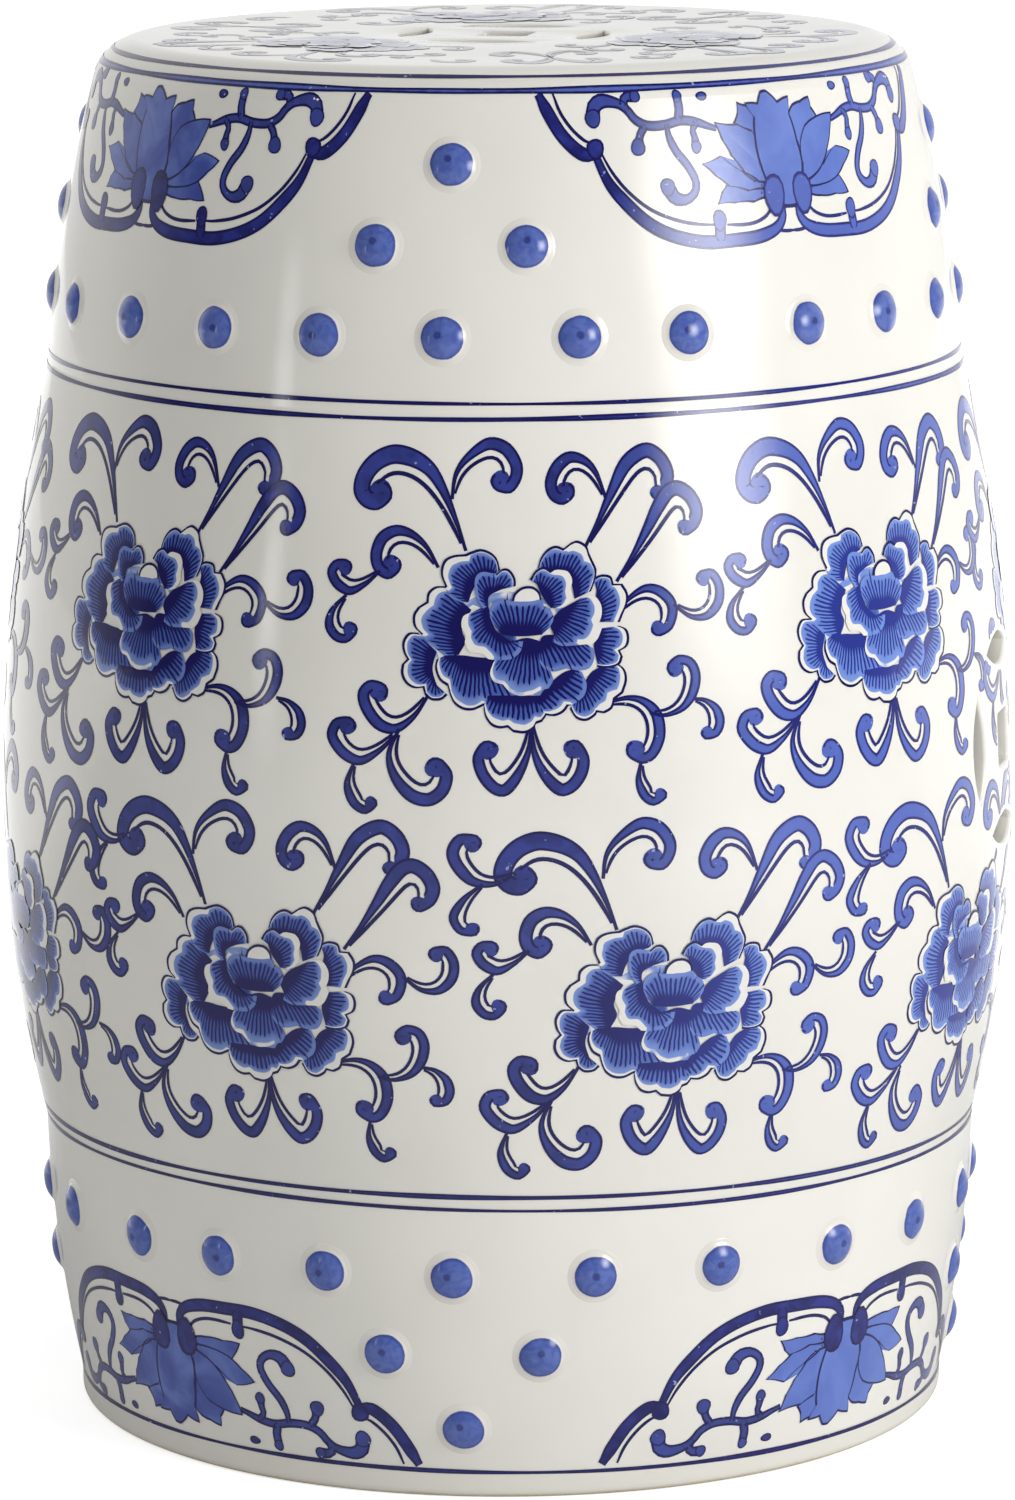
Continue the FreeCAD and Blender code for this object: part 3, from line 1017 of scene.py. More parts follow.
# The peony spray's scrolls: width, size of the bulb and points, round a flower with this middle
SPRAY_MIDDLE = Vector((-9.0, 281.0))
SCROLLS = (
    (6.0, 3.9, (
        (-22, 306), (-25, 315.5), (-28.5, 325), (-32.5, 332), (-38.5, 336.3), (-46, 337.8),
        (-53, 335), (-57.5, 329.5), (-58.5, 323.5), (-55.5, 319.3), (-51, 318.2), (-47.6, 320.2),
    )),
    (4.3, 3.1, (
        (-27, 322), (-26, 330), (-22, 336), (-15.5, 340.5), (-9, 339), (-5, 333.5), (-5, 328.5),
        (-8, 324.3), (-12, 324.6),
    )),
    (4.0, 3.0, (
        (-30, 301), (-34, 308), (-39, 312.3), (-44.5, 313.4), (-49.5, 310.5), (-51.5, 304.5),
        (-50, 299.5), (-46, 297.3), (-43, 299.2),
    )),
    (3.2, 2.3, (
        (-48.5, 299.5), (-53, 295), (-58, 292), (-63, 294), (-65.5, 298.5), (-63.5, 302),
        (-60, 302.5),
    )),
    (3.0, 2.3, ((-59, 292), (-64, 287), (-65.3, 282), (-62.5, 278), (-58.5, 277.3), (-55.7, 279.8))),
    (4.0, 2.9, (
        (22.5, 321), (19.5, 330), (15.5, 334.3), (10.5, 335.4), (6, 332.5), (3.3, 327),
        (4.3, 322), (8, 319.8), (11, 321.2),
    )),
    (4.9, 2.2, (
        (15, 306.5), (19, 314), (22.5, 322), (27, 331.5), (32, 336), (37.5, 337.3), (42.5, 334),
        (45, 328.5), (43.8, 323.5), (40.5, 320.6),
    )),
    (4.6, 2.4, (
        (25, 295.5), (30, 303), (34.5, 311.5), (38, 318.5), (42, 323.8), (47, 325.2), (52, 322),
        (54.5, 316.5), (53, 311.5), (49.5, 309),
    )),
    (3.3, 2.3, (
        (24, 286.5), (28.5, 291.5), (33.5, 294.5), (38.5, 293.8), (42.3, 290.3), (43.3, 286),
        (41.5, 281), (38, 279),
    )),
    (3.3, 2.3, (
        (42.5, 288), (48, 283.5), (54, 283), (58.5, 287), (59.3, 293), (56.5, 297.7),
        (52.5, 297.7),
    )),
    (3.9, 2.9, (
        (20, 258), (28, 260), (34, 258.5), (38, 254), (38.7, 247), (36, 241), (32, 239),
        (28.2, 240.8),
    )),
    (3.2, 2.6, (
        (34, 255), (39, 253.8), (45, 255.5), (49, 260), (50.3, 266), (48.3, 270.8), (44, 272.3),
        (41, 270.6),
    )),
    (2.9, 2.0, ((48, 258), (52.5, 257.3), (56.5, 254.5), (57.8, 250), (56, 246), (52.6, 245))),
    (2.9, 1.9, ((31, 239.8), (29.7, 234), (31, 229), (34.5, 226.3), (38, 227.8))),
    (4.0, 2.9, (
        (-2.3, 253), (-2.8, 244), (-5.5, 236), (-9.5, 230.8), (-14, 231.3), (-18, 236),
        (-19.6, 242), (-17.6, 246.2),
    )),
    (4.0, 2.9, (
        (-2.3, 253), (-1.5, 242), (1.5, 234.5), (6, 230), (10.5, 231), (14, 235.5), (15, 241),
        (13, 245.5),
    )),
    (4.0, 2.9, (
        (-33, 262), (-37.5, 254.5), (-43, 250), (-49, 251), (-53.5, 256.5), (-54.7, 262),
        (-51.7, 265.6), (-47.8, 265.2),
    )),
    (3.7, 2.7, (
        (-42.5, 250), (-48, 243.5), (-54, 239.5), (-60, 241.5), (-64.3, 247.5), (-62.7, 252.7),
        (-58.7, 254),
    )),
    (2.9, 1.9, ((-56, 240), (-58.7, 233), (-57, 227), (-52.7, 224.2), (-49.4, 226.2))),
    (4.4, 3.1, (
        (-41.5, 251), (-45, 243), (-43.5, 235), (-38.5, 228.7), (-32, 227.3), (-27, 231),
        (-25.5, 237), (-28, 241),
    )),
)
# Two more scrolls where the lower row has room
SIDE_SCROLLS = (
    (3.7, 2.7, (
        (-53, 324.5), (-59, 320.8), (-66, 320.8), (-71, 325), (-73.3, 331), (-70.5, 336.3),
        (-65.7, 336.7),
    )),
    (2.9, 2.1, ((-62.5, 321), (-69, 316), (-72.3, 310.5), (-70, 305.5), (-65.8, 304.5))),
)
# Each petal from the back to the front: its root line, then its lobes with their share of white
# rim, whether they have a dark outline, and their points, measured from the flower's middle
PETALS = (
    (((-11.2, 6.9), (-14.0, 1.2), (-13.0, -2.9), (-15.0, -7.0)), (
        (0.13, 1, ((-19.3, 14.1), (-22.4, 14.0), (-24.7, 12.1), (-25.1, 9.3))),
        (0.13, 1, ((-27.7, 7.6), (-29.2, 5.1), (-28.9, 1.7), (-26.8, -0.5))),
        (-0.1, 0, ((-25.8, -2.1), (-23.4, -4.1), (-19.1, -7.6))),
    )),
    (((-21.6, -6.1), (-22.8, -11.3), (-21.5, -16.4)), (
        (0.07, 1, ((-27.3, -0.3), (-30.4, -0.4), (-32.2, -3.2), (-31.9, -6.3), (-30.7, -8.5))),
        (0.13, 1, ((-32.3, -10.2), (-32.5, -13.1), (-31.2, -15.9), (-28.6, -17.5), (-25.8, -17.3))),
        (0.04, 1, ((-25.1, -19.6), (-23.0, -21.2), (-20.0, -21.0), (-18.2, -19.4))),
    )),
    (((-3.9, -8.0), (-9.9, -7.5), (-14.0, -7.0), (-19.1, -7.1)), (
        (-0.1, 0, ((3.6, -19.4), (0.6, -20.7), (-3.9, -22.0))),
        (0.05, 1, ((-7.9, -22.8), (-10.9, -24.1), (-14.0, -23.8), (-16.5, -22.0), (-17.7, -19.5))),
        (0.13, 1, ((-18.5, -16.6), (-20.9, -14.9), (-22.3, -11.3), (-21.9, -8.4))),
    )),
    (((-5.9, -19.4), (2.1, -19.4), (11.1, -19.6)), (
        (0.17, 1, ((-7.2, -23.3), (-6.7, -26.1), (-5.0, -28.7), (-2.5, -29.7), (0.0, -29.4))),
        (0.17, 1, ((1.7, -30.9), (5.0, -31.3), (7.5, -30.1), (8.5, -28.4))),
        (0.07, 1, ((10.2, -27.8), (11.3, -26.3), (12.5, -23.7))),
    )),
    (((20.6, -20.8), (22.7, -16.7), (25.4, -12.7), (29.0, -10.8)), (
        (0.06, 1, ((18.6, -23.9), (20.5, -27.0), (23.5, -27.9), (26.1, -26.5), (26.9, -25.3))),
        (0.2, 1, ((29.2, -25.7), (31.5, -24.3), (32.4, -21.5))),
        (0.13, 1, ((35.0, -19.6), (36.3, -15.7), (35.7, -12.3), (33.4, -10.2))),
    )),
    (((27.2, 0.7), (26.3, -4.5), (27.2, -9.7)), (
        (0.13, 1, ((34.3, 1.4), (36.6, 0.3), (37.4, -2.3), (36.7, -5.0), (34.4, -6.4))),
        (0.05, 1, ((35.2, -8.2), (34.2, -10.5), (31.0, -11.4), (27.2, -11.2))),
    )),
    (((27.6, 12.5), (26.9, 7.4), (27.8, 2.7)), (
        (0.02, 1, ((26.7, 16.3), (29.3, 17.3), (32.2, 16.7), (33.0, 14.3))),
        (0.17, 1, ((35.8, 14.2), (37.4, 11.3), (37.2, 8.2), (35.8, 5.2), (34.6, 2.4))),
    )),
    (((-3.8, 18.2), (-7.9, 16.6), (-10.5, 13.5), (-12.0, 9.4)), (
        (0.02, 1, ((-2.2, 19.4), (-3.2, 22.8), (-5.4, 24.9), (-8.5, 25.8), (-11.8, 24.8))),
        (0.17, 1, (
            (-13.1, 24.2), (-16.8, 23.8), (-19.4, 22.5), (-20.5, 20.1), (-20.5, 17.5),
            (-19.3, 14.5),
        )),
        (-0.1, 0, ((-18.7, 12.4), (-17.2, 10.7), (-14.1, 9.4))),
    )),
    (((10.6, 17.0), (16.8, 17.4), (19.8, 14.7), (20.8, 10.1)), (
        (0.01, 1, ((9.7, 20.1), (10.7, 23.1), (12.8, 25.6), (15.4, 26.6), (17.8, 25.7))),
        (0.2, 1, ((20.2, 27.4), (22.3, 28.0), (24.9, 26.5), (25.8, 24.0))),
        (0.03, 1, ((26.8, 21.7), (27.9, 18.9), (27.4, 15.8), (26.0, 12.3))),
    )),
    (((8.6, -21.6), (11.1, -17.5), (16.2, -12.9), (20.3, -11.5)), (
        (0.13, 1, ((11.3, -25.8), (14.0, -26.1), (16.6, -25.0), (18.1, -23.1))),
        (-0.1, 0, ((20.4, -22.1), (22.9, -19.9), (23.7, -16.3), (22.3, -12.6))),
    )),
    (((1.2, -2.9), (5.7, -1.9), (9.8, -3.0)), (
        (0.02, 0, ((-4.4, -9.3), (-5.5, -12.7), (-4.4, -15.3), (-1.7, -16.2))),
        (0.02, 0, ((0.3, -18.6), (3.3, -19.8), (7.1, -19.4), (9.6, -18.2))),
        (-0.1, 0, ((12.1, -17.6), (13.5, -15.0), (12.4, -12.3))),
    )),
    (((9.3, -5.1), (10.8, -1.0), (16.4, -1.1), (21.5, -2.3)), (
        (-0.1, 0, ((9.7, -9.2), (11.2, -11.3), (14.2, -12.1), (17.8, -11.2))),
        (-0.1, 0, ((21.3, -12.0), (24.6, -11.4), (26.3, -8.3), (25.9, -5.2))),
    )),
    (((20.7, 9.1), (15.5, 6.1), (12.9, 2.1), (13.9, -1.0)), (
        (0.13, 0, ((23.4, 10.5), (26.5, 10.7), (28.6, 7.8), (28.7, 4.7), (27.9, 2.4))),
        (0.13, 0, ((28.7, 0.6), (27.4, -2.4), (25.6, -4.2), (23.3, -4.3))),
        (-0.1, 0, ((20.4, -4.5), (16.4, -4.6), (13.6, -3.3))),
    )),
    (((-5.9, 8.4), (-3.9, 1.2), (0.7, -2.9)), (
        (0.15, 0, ((-11.0, 6.1), (-13.5, 4.8), (-14.0, 1.7), (-12.7, -1.1))),
        (0.15, 0, ((-13.0, -3.4), (-11.5, -6.1), (-7.9, -6.6), (-5.9, -8.3))),
        (-0.1, 0, ((-2.9, -8.7), (1.1, -8.3), (3.9, -6.0), (4.7, -2.9))),
    )),
    (((-1.8, 13.0), (-5.4, 11.0), (-5.9, 7.9)), (
        (0.01, 1, ((2.7, 14.0), (2.5, 16.6), (0.8, 19.1), (-1.2, 19.4), (-3.0, 18.0))),
        (-0.1, 0, (
            (-4.3, 17.9), (-7.4, 18.4), (-9.5, 17.1), (-10.0, 14.1), (-9.5, 10.5), (-7.4, 7.1),
        )),
    )),
    (((9.0, 14.5), (10.5, 10.8), (13.0, 7.2)), (
        (0.01, 1, ((6.7, 16.0), (8.6, 18.8), (11.2, 19.9), (13.5, 18.6))),
        (0.13, 0, ((15.5, 18.9), (18.4, 18.3), (19.8, 15.8), (19.3, 13.0))),
        (0.13, 0, ((19.7, 10.6), (18.1, 8.1), (15.8, 7.0))),
    )),
    (((2.3, 9.4), (9.4, 9.3)), (
        (0.9, 1, ((1.0, 9.8), (1.9, 12.2), (4.4, 14.1), (7.5, 14.2), (9.6, 12.5), (10.2, 9.8))),
    )),
    (((-1.8, -0.8), (3.7, -1.4), (10.3, -1.0)), (
        (-0.1, 0, ((-4.4, 2.3), (-5.5, 5.3), (-4.9, 8.4), (-2.3, 10.1), (1.3, 9.5))),
        (-0.1, 0, ((4.3, 9.3), (7.4, 9.4), (10.0, 9.8), (11.0, 8.0))),
        (-0.1, 0, ((13.0, 7.0), (14.0, 4.1), (12.6, 1.1), (10.8, -0.5))),
    )),
)


def petal_edge(lobes):
    """A petal's outer edge as points with their rim and outline, with a notch between lobes."""
    edge = []
    for rim, outlined, points in lobes:
        run = spline([Vector(p) for p in points], 3)
        if edge:
            edge.append(((edge[-1][0] + run[0]) / 2, (edge[-1][1] + rim) / 2, outlined))
        edge += [(spot, rim, outlined) for spot in run]
    return edge


def over_side_hole(sizes):
    """A test for points of the belly that lie over a hole in one of its coins."""
    outlines = coin_outlines(sizes)

    def test(co):
        if max(abs(co.y), abs(co.z - COIN_Z)) > COIN_REACH:
            return False
        spot = Vector((co.y * math.copysign(1, co.x), co.z - COIN_Z))
        return any(inside_outline(spot, outline, SIDE_CLEARANCE) for outline in outlines)

    return test


# How far paint keeps off a pierced hole, in the belly and in the seat
SIDE_CLEARANCE = 0.7
SEAT_CLEARANCE = 0.8
# The dark ground under a flower: half its width and height, how far down it lies, and its root
GROUND_WIDE = 23.4
GROUND_TALL = 17.1
GROUND_DOWN = 4.5
GROUND_ROOT = ((-3, -5), (0, -5))
# Its edge line is wider than the ground itself, so that all of it is dark
GROUND_LINE = 24.0
# Lifts of the ground and of the first petal, and how much higher each further petal lies
GROUND_LIFT = 0.1
PETAL_LIFT = 0.13
PETAL_RISE = 0.02
# Each row of sprays: where they lie round the belly, their height, and how far the painter's row
# sinks towards the right
SPRAY_ROWS = (
    ("upper", (-32.6, 13.8, 59.0, 102.0, 147.5, 192.5, 237.5, 282.0), 284.6, 1.0),
    ("lower", (-60.0, -16.3, 30.1, 76.0, 121.0, 166.0, 211.0, 255.5), 165.5, 4.5),
)
# A spray's two sets of pieces: the brush's material and the name
SPRAY_PARTS = (("stroke", "scrolls"), ("petal", "peonies"))


def wall_place(azimuth, height, way=1.0):
    """Where paint goes round a spot on the wall: x to the right, and y upwards or downwards."""
    left = way_round(azimuth)
    return lambda x, y, lift: on_wall(left + x, height + way * y, lift)


def paint_belly(sizes):
    """Both rows of peony sprays round the belly."""
    pieces = []
    for row, azimuths, middle, lean in SPRAY_ROWS:
        for part, name in SPRAY_PARTS:
            brush = Brush()
            for index, azimuth in enumerate(azimuths):
                height = middle + lean * math.cos(math.radians(azimuth + 55))
                brush.place = wall_place(azimuth, height)
                draw_spray_part(brush, part, row == "lower", seed=index * 7 + len(row + name))
            brush.trim(over_side_hole(sizes))
            pieces.append((name + "_" + row, brush.bm, part))
    return pieces


def draw_spray_part(brush, part, sides, seed, skipped=()):
    """Draw a spray's scrolls or its flower, a little different each time as a hand makes it."""
    rng = random.Random(seed)
    tone = rng.uniform(0.0, 0.15)
    if part == "stroke":
        scrolls = SCROLLS + SIDE_SCROLLS if sides else SCROLLS
        draw_scrolls(brush, scrolls, rng, tone, skipped)
    else:
        draw_flower(brush, rng)


def draw_scrolls(brush, scrolls, rng, tone, skipped):
    """Draw a spray's scrolls, and pass over those that there is no room for."""
    for index, (width, bulb, points) in enumerate(scrolls):
        shift = Vector((rng.uniform(-0.5, 0.5), rng.uniform(-0.5, 0.5))) - SPRAY_MIDDLE
        if index in skipped:
            continue
        line = [Vector(p) + shift for p in points]
        width *= rng.uniform(0.87, 1.01)
        lift = STROKE_LIFT + 0.01 * (index % 4)
        curl(brush, line, width, bulb, lift, tone + rng.uniform(0.0, 0.12))


def draw_flower(brush, rng):
    """Draw a flower: a dark ground, then its petals from the back to the front."""
    ground = []
    for part in range(17):
        angle = part / 8 * math.pi
        edge = (GROUND_WIDE * math.cos(angle), GROUND_TALL * math.sin(angle) - GROUND_DOWN)
        ground.append((Vector(edge), 0.0, 0))
    brush.petal(GROUND_ROOT, ground, GROUND_LIFT, line=GROUND_LINE)
    for index, (root, lobes) in enumerate(PETALS):
        shift = Vector((rng.uniform(-0.25, 0.25), rng.uniform(-0.25, 0.25)))
        edge = [(p + shift, rim, outlined) for p, rim, outlined in petal_edge(lobes)]
        brush.petal([Vector(p) + shift for p in root], edge, PETAL_LIFT + PETAL_RISE * index)


# Half a lappet, drawn from its middle line outwards, with heights above its lowest edge. First its
# heavy bands with their width and lift
LAPPET_BANDS = (
    ((
        (5.0, 12.5), (3.8, 6.8), (7.2, 2.8), (15.0, 0.6), (25.5, 0.0), (37.4, 0.0), (48.7, 2.3),
        (57.7, 6.3), (65.4, 12.5), (71.8, 19.4), (76.2, 28.0),
    ), 4.5, 0.1),
    ((
        (75.5, 28.2), (79.5, 27.9), (83.9, 30.3), (88.7, 34.9), (93.0, 41.2), (96.4, 46.8),
    ), 4.6, 0.12),
    (((31.2, 0.0), (31.0, 3.0), (30.8, 6.0)), 4.4, 0.12),
)
# Its dabs: place, radius, lift, tone, how tall they are and how deep their edge counts
LAPPET_DABS = (
    (76.0, 29.8, 3.3, 0.14, 0.0, 1.0, 0.0),
    (30.8, 6.4, 2.7, 0.14, 0.0, 1.3, 0.3),
    (6.6, 13.0, 4.7, 0.3, 0.0, 1.45, 0.0),
    (32.6, 44.6, 2.4, 0.1, 0.1, 0.6, 0.0),
)
LAPPET_LINE = 1.15
LAPPET_LIFT = 0.09
LAPPET_LINES = (
    ((77.0, 31.5), (80.1, 32.6), (84.5, 36.2), (88.4, 41.2), (90.8, 46.8)),
    ((74.2, 29.0), (70.2, 22.4), (64.3, 16.0), (56.4, 10.5), (46.4, 6.9), (37.3, 5.4), (32.0, 5.2)),
    ((8.0, 10.5), (10.5, 7.2), (15.3, 5.2), (20.7, 4.6), (28.0, 4.9)),
    ((0, 1.6), (3.5, 1.6), (8.0, 2.4)),
    ((0, 8.9), (2.0, 9.1), (4.0, 8.2)),
)
# Its vines with their width and the knob at their end
VINE_TONE = 0.25
LAPPET_VINES = (
    (3.15, 2.7, (
        (28.0, 34.5), (31.1, 35.3), (36.5, 36.9), (42.6, 37.5), (48.8, 36.4), (55.6, 36.4),
        (60.3, 38.4), (62.9, 41.2), (66.5, 43.4), (72.2, 44.3), (75.6, 42.6), (76.2, 39.6),
    )),
    (3.45, 1.9, ((62.9, 41.0), (64.3, 43.0), (63.4, 45.2), (60.0, 45.5))),
    (3.0, 2.5, ((56.4, 36.4), (58.6, 34.0), (59.8, 30.4))),
    (3.6, 1.8, ((43.6, 37.4), (42.5, 40.7), (42.8, 44.6))),
    (3.15, 2.6, (
        (48.2, 36.6), (47.6, 32.5), (45.4, 28.2), (41.3, 23.5), (38.8, 18.8), (39.6, 15.4),
        (43.2, 13.3), (47.3, 14.0), (49.6, 17.0),
    )),
    (2.7, 1.9, ((35.4, 37.0), (37.9, 34.8), (37.4, 32.1), (37.2, 29.6))),
)
# The lotus petals of one half from the back to the front, and the middle one over them
LOTUS_BASE = (9.5, 19.0)
LOTUS_MIDDLE_BASE = (-1.5, 26.0)
LOTUS_SIDE = (
    ((6, 38), (8.5, 40.3), (13, 41.2), (17.8, 42.3), (18.2, 39), (20.5, 36), (15, 33), (9, 27)),
    ((19, 19), (26, 18), (29, 15), (31.2, 11.2), (24, 11.2), (16, 11), (10, 12)),
    ((20, 21), (28, 26.2), (36, 24), (31, 20), (26, 16.5), (18, 14.6), (9, 14.5)),
    (
        (8.5, 22), (9.5, 29), (13, 33.5), (19, 35.7), (28.8, 36.6), (26.5, 31), (23.5, 26),
        (19, 20.6), (13, 17), (9, 16),
    ),
)
LOTUS_MIDDLE = (
    (-3, 9), (-9, 16), (-12, 25), (-12, 33), (-11, 37.5), (-14.3, 41.8), (-8.5, 41.6),
    (-6.3, 45), (-3.6, 45.3), (1.2, 41.6), (7, 43), (6, 38), (8, 29), (9, 22), (7, 16), (3, 9),
)
# Each row of lappets: where they lie round the wall, the height of their lowest edge, and which
# way they are drawn from it
LAPPET_ROWS = (
    ("upper", (-39.1, 52.8, 140.9, 232.8), 402.5, 1.0),
    ("lower", (-32.5, 59.6, 147.5, 239.6), 57.5, -1.0),
)


def flipped(points, side):
    """Points of half a lappet on one side of its middle line."""
    return [Vector((x * side, y)) for x, y in points]


def lappet(stroke, lotus):
    """Paint one cloud-edged lappet with its lotus, both halves."""
    for side in (-1.0, 1.0):
        for index, points in enumerate(LOTUS_SIDE):
            outline = spline_corners(flipped(points, side))
            base = Vector((LOTUS_BASE[0] * side, LOTUS_BASE[1] + index * 0.8))
            lotus.leaf(outline, base, 0.1 + 0.03 * index, 0.15 + 0.2 * (index % 2))
        for points, width, lift in LAPPET_BANDS:
            stalk(stroke, flipped(points, side), width, lift)
        for x, y, radius, lift, tone, tall, inset in LAPPET_DABS:
            stroke.disc(Vector((x * side, y)), radius, lift, tone, tall, inset)
        for points in LAPPET_LINES:
            stalk(stroke, flipped(points, side), LAPPET_LINE, LAPPET_LIFT)
        for width, bulb, points in LAPPET_VINES:
            line = flipped(points, side)
            stalk(stroke, line, width, LAPPET_LIFT, VINE_TONE, swell=bulb)
            tip = line[-1] + (line[-1] - line[-2]).normalized() * bulb * 0.2
            stroke.disc(tip, bulb * 1.12, 0.11, VINE_TONE, inset=0.3)
    middle = spline_corners(flipped(LOTUS_MIDDLE, 1.0))
    lotus.leaf(middle, Vector(LOTUS_MIDDLE_BASE), 0.24, 0.1)


def spline_corners(points):
    """A closed outline that keeps its corners but bows a little between them."""
    closed = points + [points[0]]
    line = []
    for first, second in zip(closed, closed[1:]):
        bulge = Vector((-(second - first).y, (second - first).x)) * 0.04
        for step in range(4):
            share = step / 4
            line.append(first.lerp(second, share) + bulge * math.sin(math.pi * share))
    return line + [points[0]]


def paint_lappets():
    """All eight lappets, pointing down from the seat and up from the foot."""
    pieces = []
    for row, azimuths, height, way in LAPPET_ROWS:
        stroke, lotus = Brush(), Brush()
        for azimuth in azimuths:
            stroke.place = lotus.place = wall_place(azimuth, height, way)
            lappet(stroke, lotus)
        pieces.append(("lappets_" + row, stroke.bm, "stroke"))
        pieces.append(("lotuses_" + row, lotus.bm, "lotus"))
    return pieces


# Height, width, lean, wobble and tone of the double lines at both seams, the band and thin line at
# the seat and the line at the foot
RING_LINES = (
    (350.2, 1.5, 0.0, 0.25, 0.0),
    (354.9, 1.2, 0.0, 0.25, 0.0),
    (97.2, 1.3, 1.7, 0.25, 0.0),
    (101.4, 1.5, 1.7, 0.25, 0.0),
    (450.4, 1.9, 0.0, 0.15, 0.8),
    (454.3, 0.9, 0.0, 0.05, 0.0),
    (8.3, 1.4, 0.9, 0.25, 0.0),
)


def ring_line(brush, height, width, lean, wobble, tone):
    """A brushed line round the stool, not quite even."""

    def shape(around, over):
        azimuth = 2 * math.pi * around
        wander = lean * math.cos(azimuth + math.radians(50))
        wander += wobble * math.sin(3 * azimuth + height)
        wide = width * (1 + 0.18 * math.sin(7 * azimuth + height) + 0.1 * math.sin(17 * azimuth))
        level = height + wander + wide * (over - 0.5)
        deep = wide * min(over, 1 - over) + 0.1
        return Vector((azimuth * WRAP_R, level)), LINE_LIFT, (deep, deep, tone)

    brush.sheet(360, 2, shape)


def paint_lines():
    """All the lines round the stool."""
    brush = Brush(on_wall)
    for line in RING_LINES:
        ring_line(brush, *line)
    return brush.bm


# Where the three sprays lie round the seat, their scale across and along, and the scrolls that
# they have no room for
SEAT_SPRAYS = (-37.0, 83.0, 203.0)
SEAT_ACROSS = 0.9
SEAT_ALONG = 0.8
SEAT_SKIPPED = (12, 13, 14, 15, 17, 18, 19)
# Between them, two scrolls with their common root, and a hook with its scale, and how far from the
# seat's middle both lie
RIM_SCROLLS = SCROLLS[14:16]
RIM_ROOT = (-2.3, 253.0)
RIM_OUT = 91.0
RIM_HOOK = ((-7, 7), (-7.5, 0), (-4, -6), (2.5, -8), (7.5, -4), (8, 1), (5, 3.5))
HOOK_SCALE = 0.85
HOOK_SIDE = 32.0
HOOK_OUT = 97.0
HOOK_WIDTH = 2.8
HOOK_BULB = 2.2


def seat_place(azimuth, across=1.0, along=1.0, start=0.0):
    """Where paint goes on the flat seat: scaled, moved along and turned round the seat's middle."""
    turn = Matrix.Rotation(math.radians(azimuth), 2)

    def place(x, y, lift):
        spot = turn @ Vector((x * across, start + y * along))
        return Vector((spot.x, spot.y, HEIGHT + lift))

    return place


def draw_rim_hooks(brush):
    """Two pairs of scrolls back to back between two of the seat's sprays, each with a hook."""
    for way in (1, -1):
        for width, bulb, points in RIM_SCROLLS:
            line = []
            for x, y in points:
                line.append(Vector((x - RIM_ROOT[0], way * (y - RIM_ROOT[1]) - RIM_OUT)))
            curl(brush, line, width, bulb)
        hook = []
        for x, y in RIM_HOOK:
            hook.append(Vector((way * (HOOK_SIDE - HOOK_SCALE * x), HOOK_SCALE * y - HOOK_OUT)))
        curl(brush, hook, HOOK_WIDTH, HOOK_BULB)


def over_seat_hole(sizes):
    """A test for points of the seat that lie over a hole in its coin or past its flat."""
    outlines = coin_outlines(sizes)

    def test(co):
        spot = Vector((co.x, co.y))
        if spot.length > SEAT_FLAT_R - 0.5:
            return True
        if spot.length > COIN_REACH:
            return False
        return any(inside_outline(spot, outline, SEAT_CLEARANCE) for outline in outlines)

    return test


def paint_seat(sizes):
    """Three peony sprays round the seat's coin with their tops at the rim, and scrolls between."""
    pieces = []
    for part, name in SPRAY_PARTS:
        brush = Brush()
        for index, azimuth in enumerate(SEAT_SPRAYS):
            brush.place = seat_place(azimuth, -SEAT_ACROSS, -SEAT_ALONG, -sizes.seat_reach)
            draw_spray_part(brush, part, False, 200 + index, SEAT_SKIPPED)
            if part == "stroke":
                brush.place = seat_place(azimuth + 60.0)
                draw_rim_hooks(brush)
        brush.trim(over_seat_hole(sizes))
        pieces.append(("seat_" + name, brush.bm, part))
    return pieces


# Studs

# Azimuths of the ten studs of each ring that the front shows
UPPER_FRONT_STUDS = (-55.5, -39.3, -24.0, -9.2, 6.2, 22.7, 36.3, 53.5, 67.9, 82.8)
LOWER_FRONT_STUDS = (-54.3, -37.2, -23.5, -8.7, 6.8, 23.7, 39.3, 56.4, 71.8, 88.5)
RING_COUNT = 24
# How many degrees the paired studs of a triangle lie from its middle
PAIR_REACH = 9.4


def ring_spots(front, z):
    """A ring's front studs, then the rest spaced evenly round the back."""
    rest = RING_COUNT - len(front)
    gap = (front[0] + 360.0 - front[-1]) / (rest + 1)
    back = [front[-1] + gap * (index + 1) for index in range(rest)]
    return [(azimuth, z) for azimuth in (*front, *back)]


def triangle_spots(turn, pair_z, tip_z):
    """Two studs and a single one past them, in each quarter."""
    spots = []
    for quarter in range(4):
        centre = turn + 90.0 * quarter
        spots += [(centre - PAIR_REACH, pair_z), (centre + PAIR_REACH, pair_z), (centre, tip_z)]
    return spots


STUDS = {
    "upper_ring_studs": ring_spots(UPPER_FRONT_STUDS, UPPER_SEAM_Z + 23.0),
    "upper_triangle_studs": triangle_spots(7.0, UPPER_SEAM_Z + 51.0, UPPER_SEAM_Z + 76.0),
    "lower_ring_studs": ring_spots(LOWER_FRONT_STUDS, 75.5),
    "lower_triangle_studs": triangle_spots(7.8, 49.0, 24.0),
}
# Radius and height over the wall, from the crown to the root and back under it
STUD_PROFILE = (
    (0.0, 2.8), (1.6, 2.72), (3.2, 2.45), (4.6, 1.98), (5.7, 1.4), (6.6, 0.85),
    (7.3, 0.4), (8.1, 0.14), (9.0, 0.02), (9.6, -0.3), (0.0, -1.5),
)


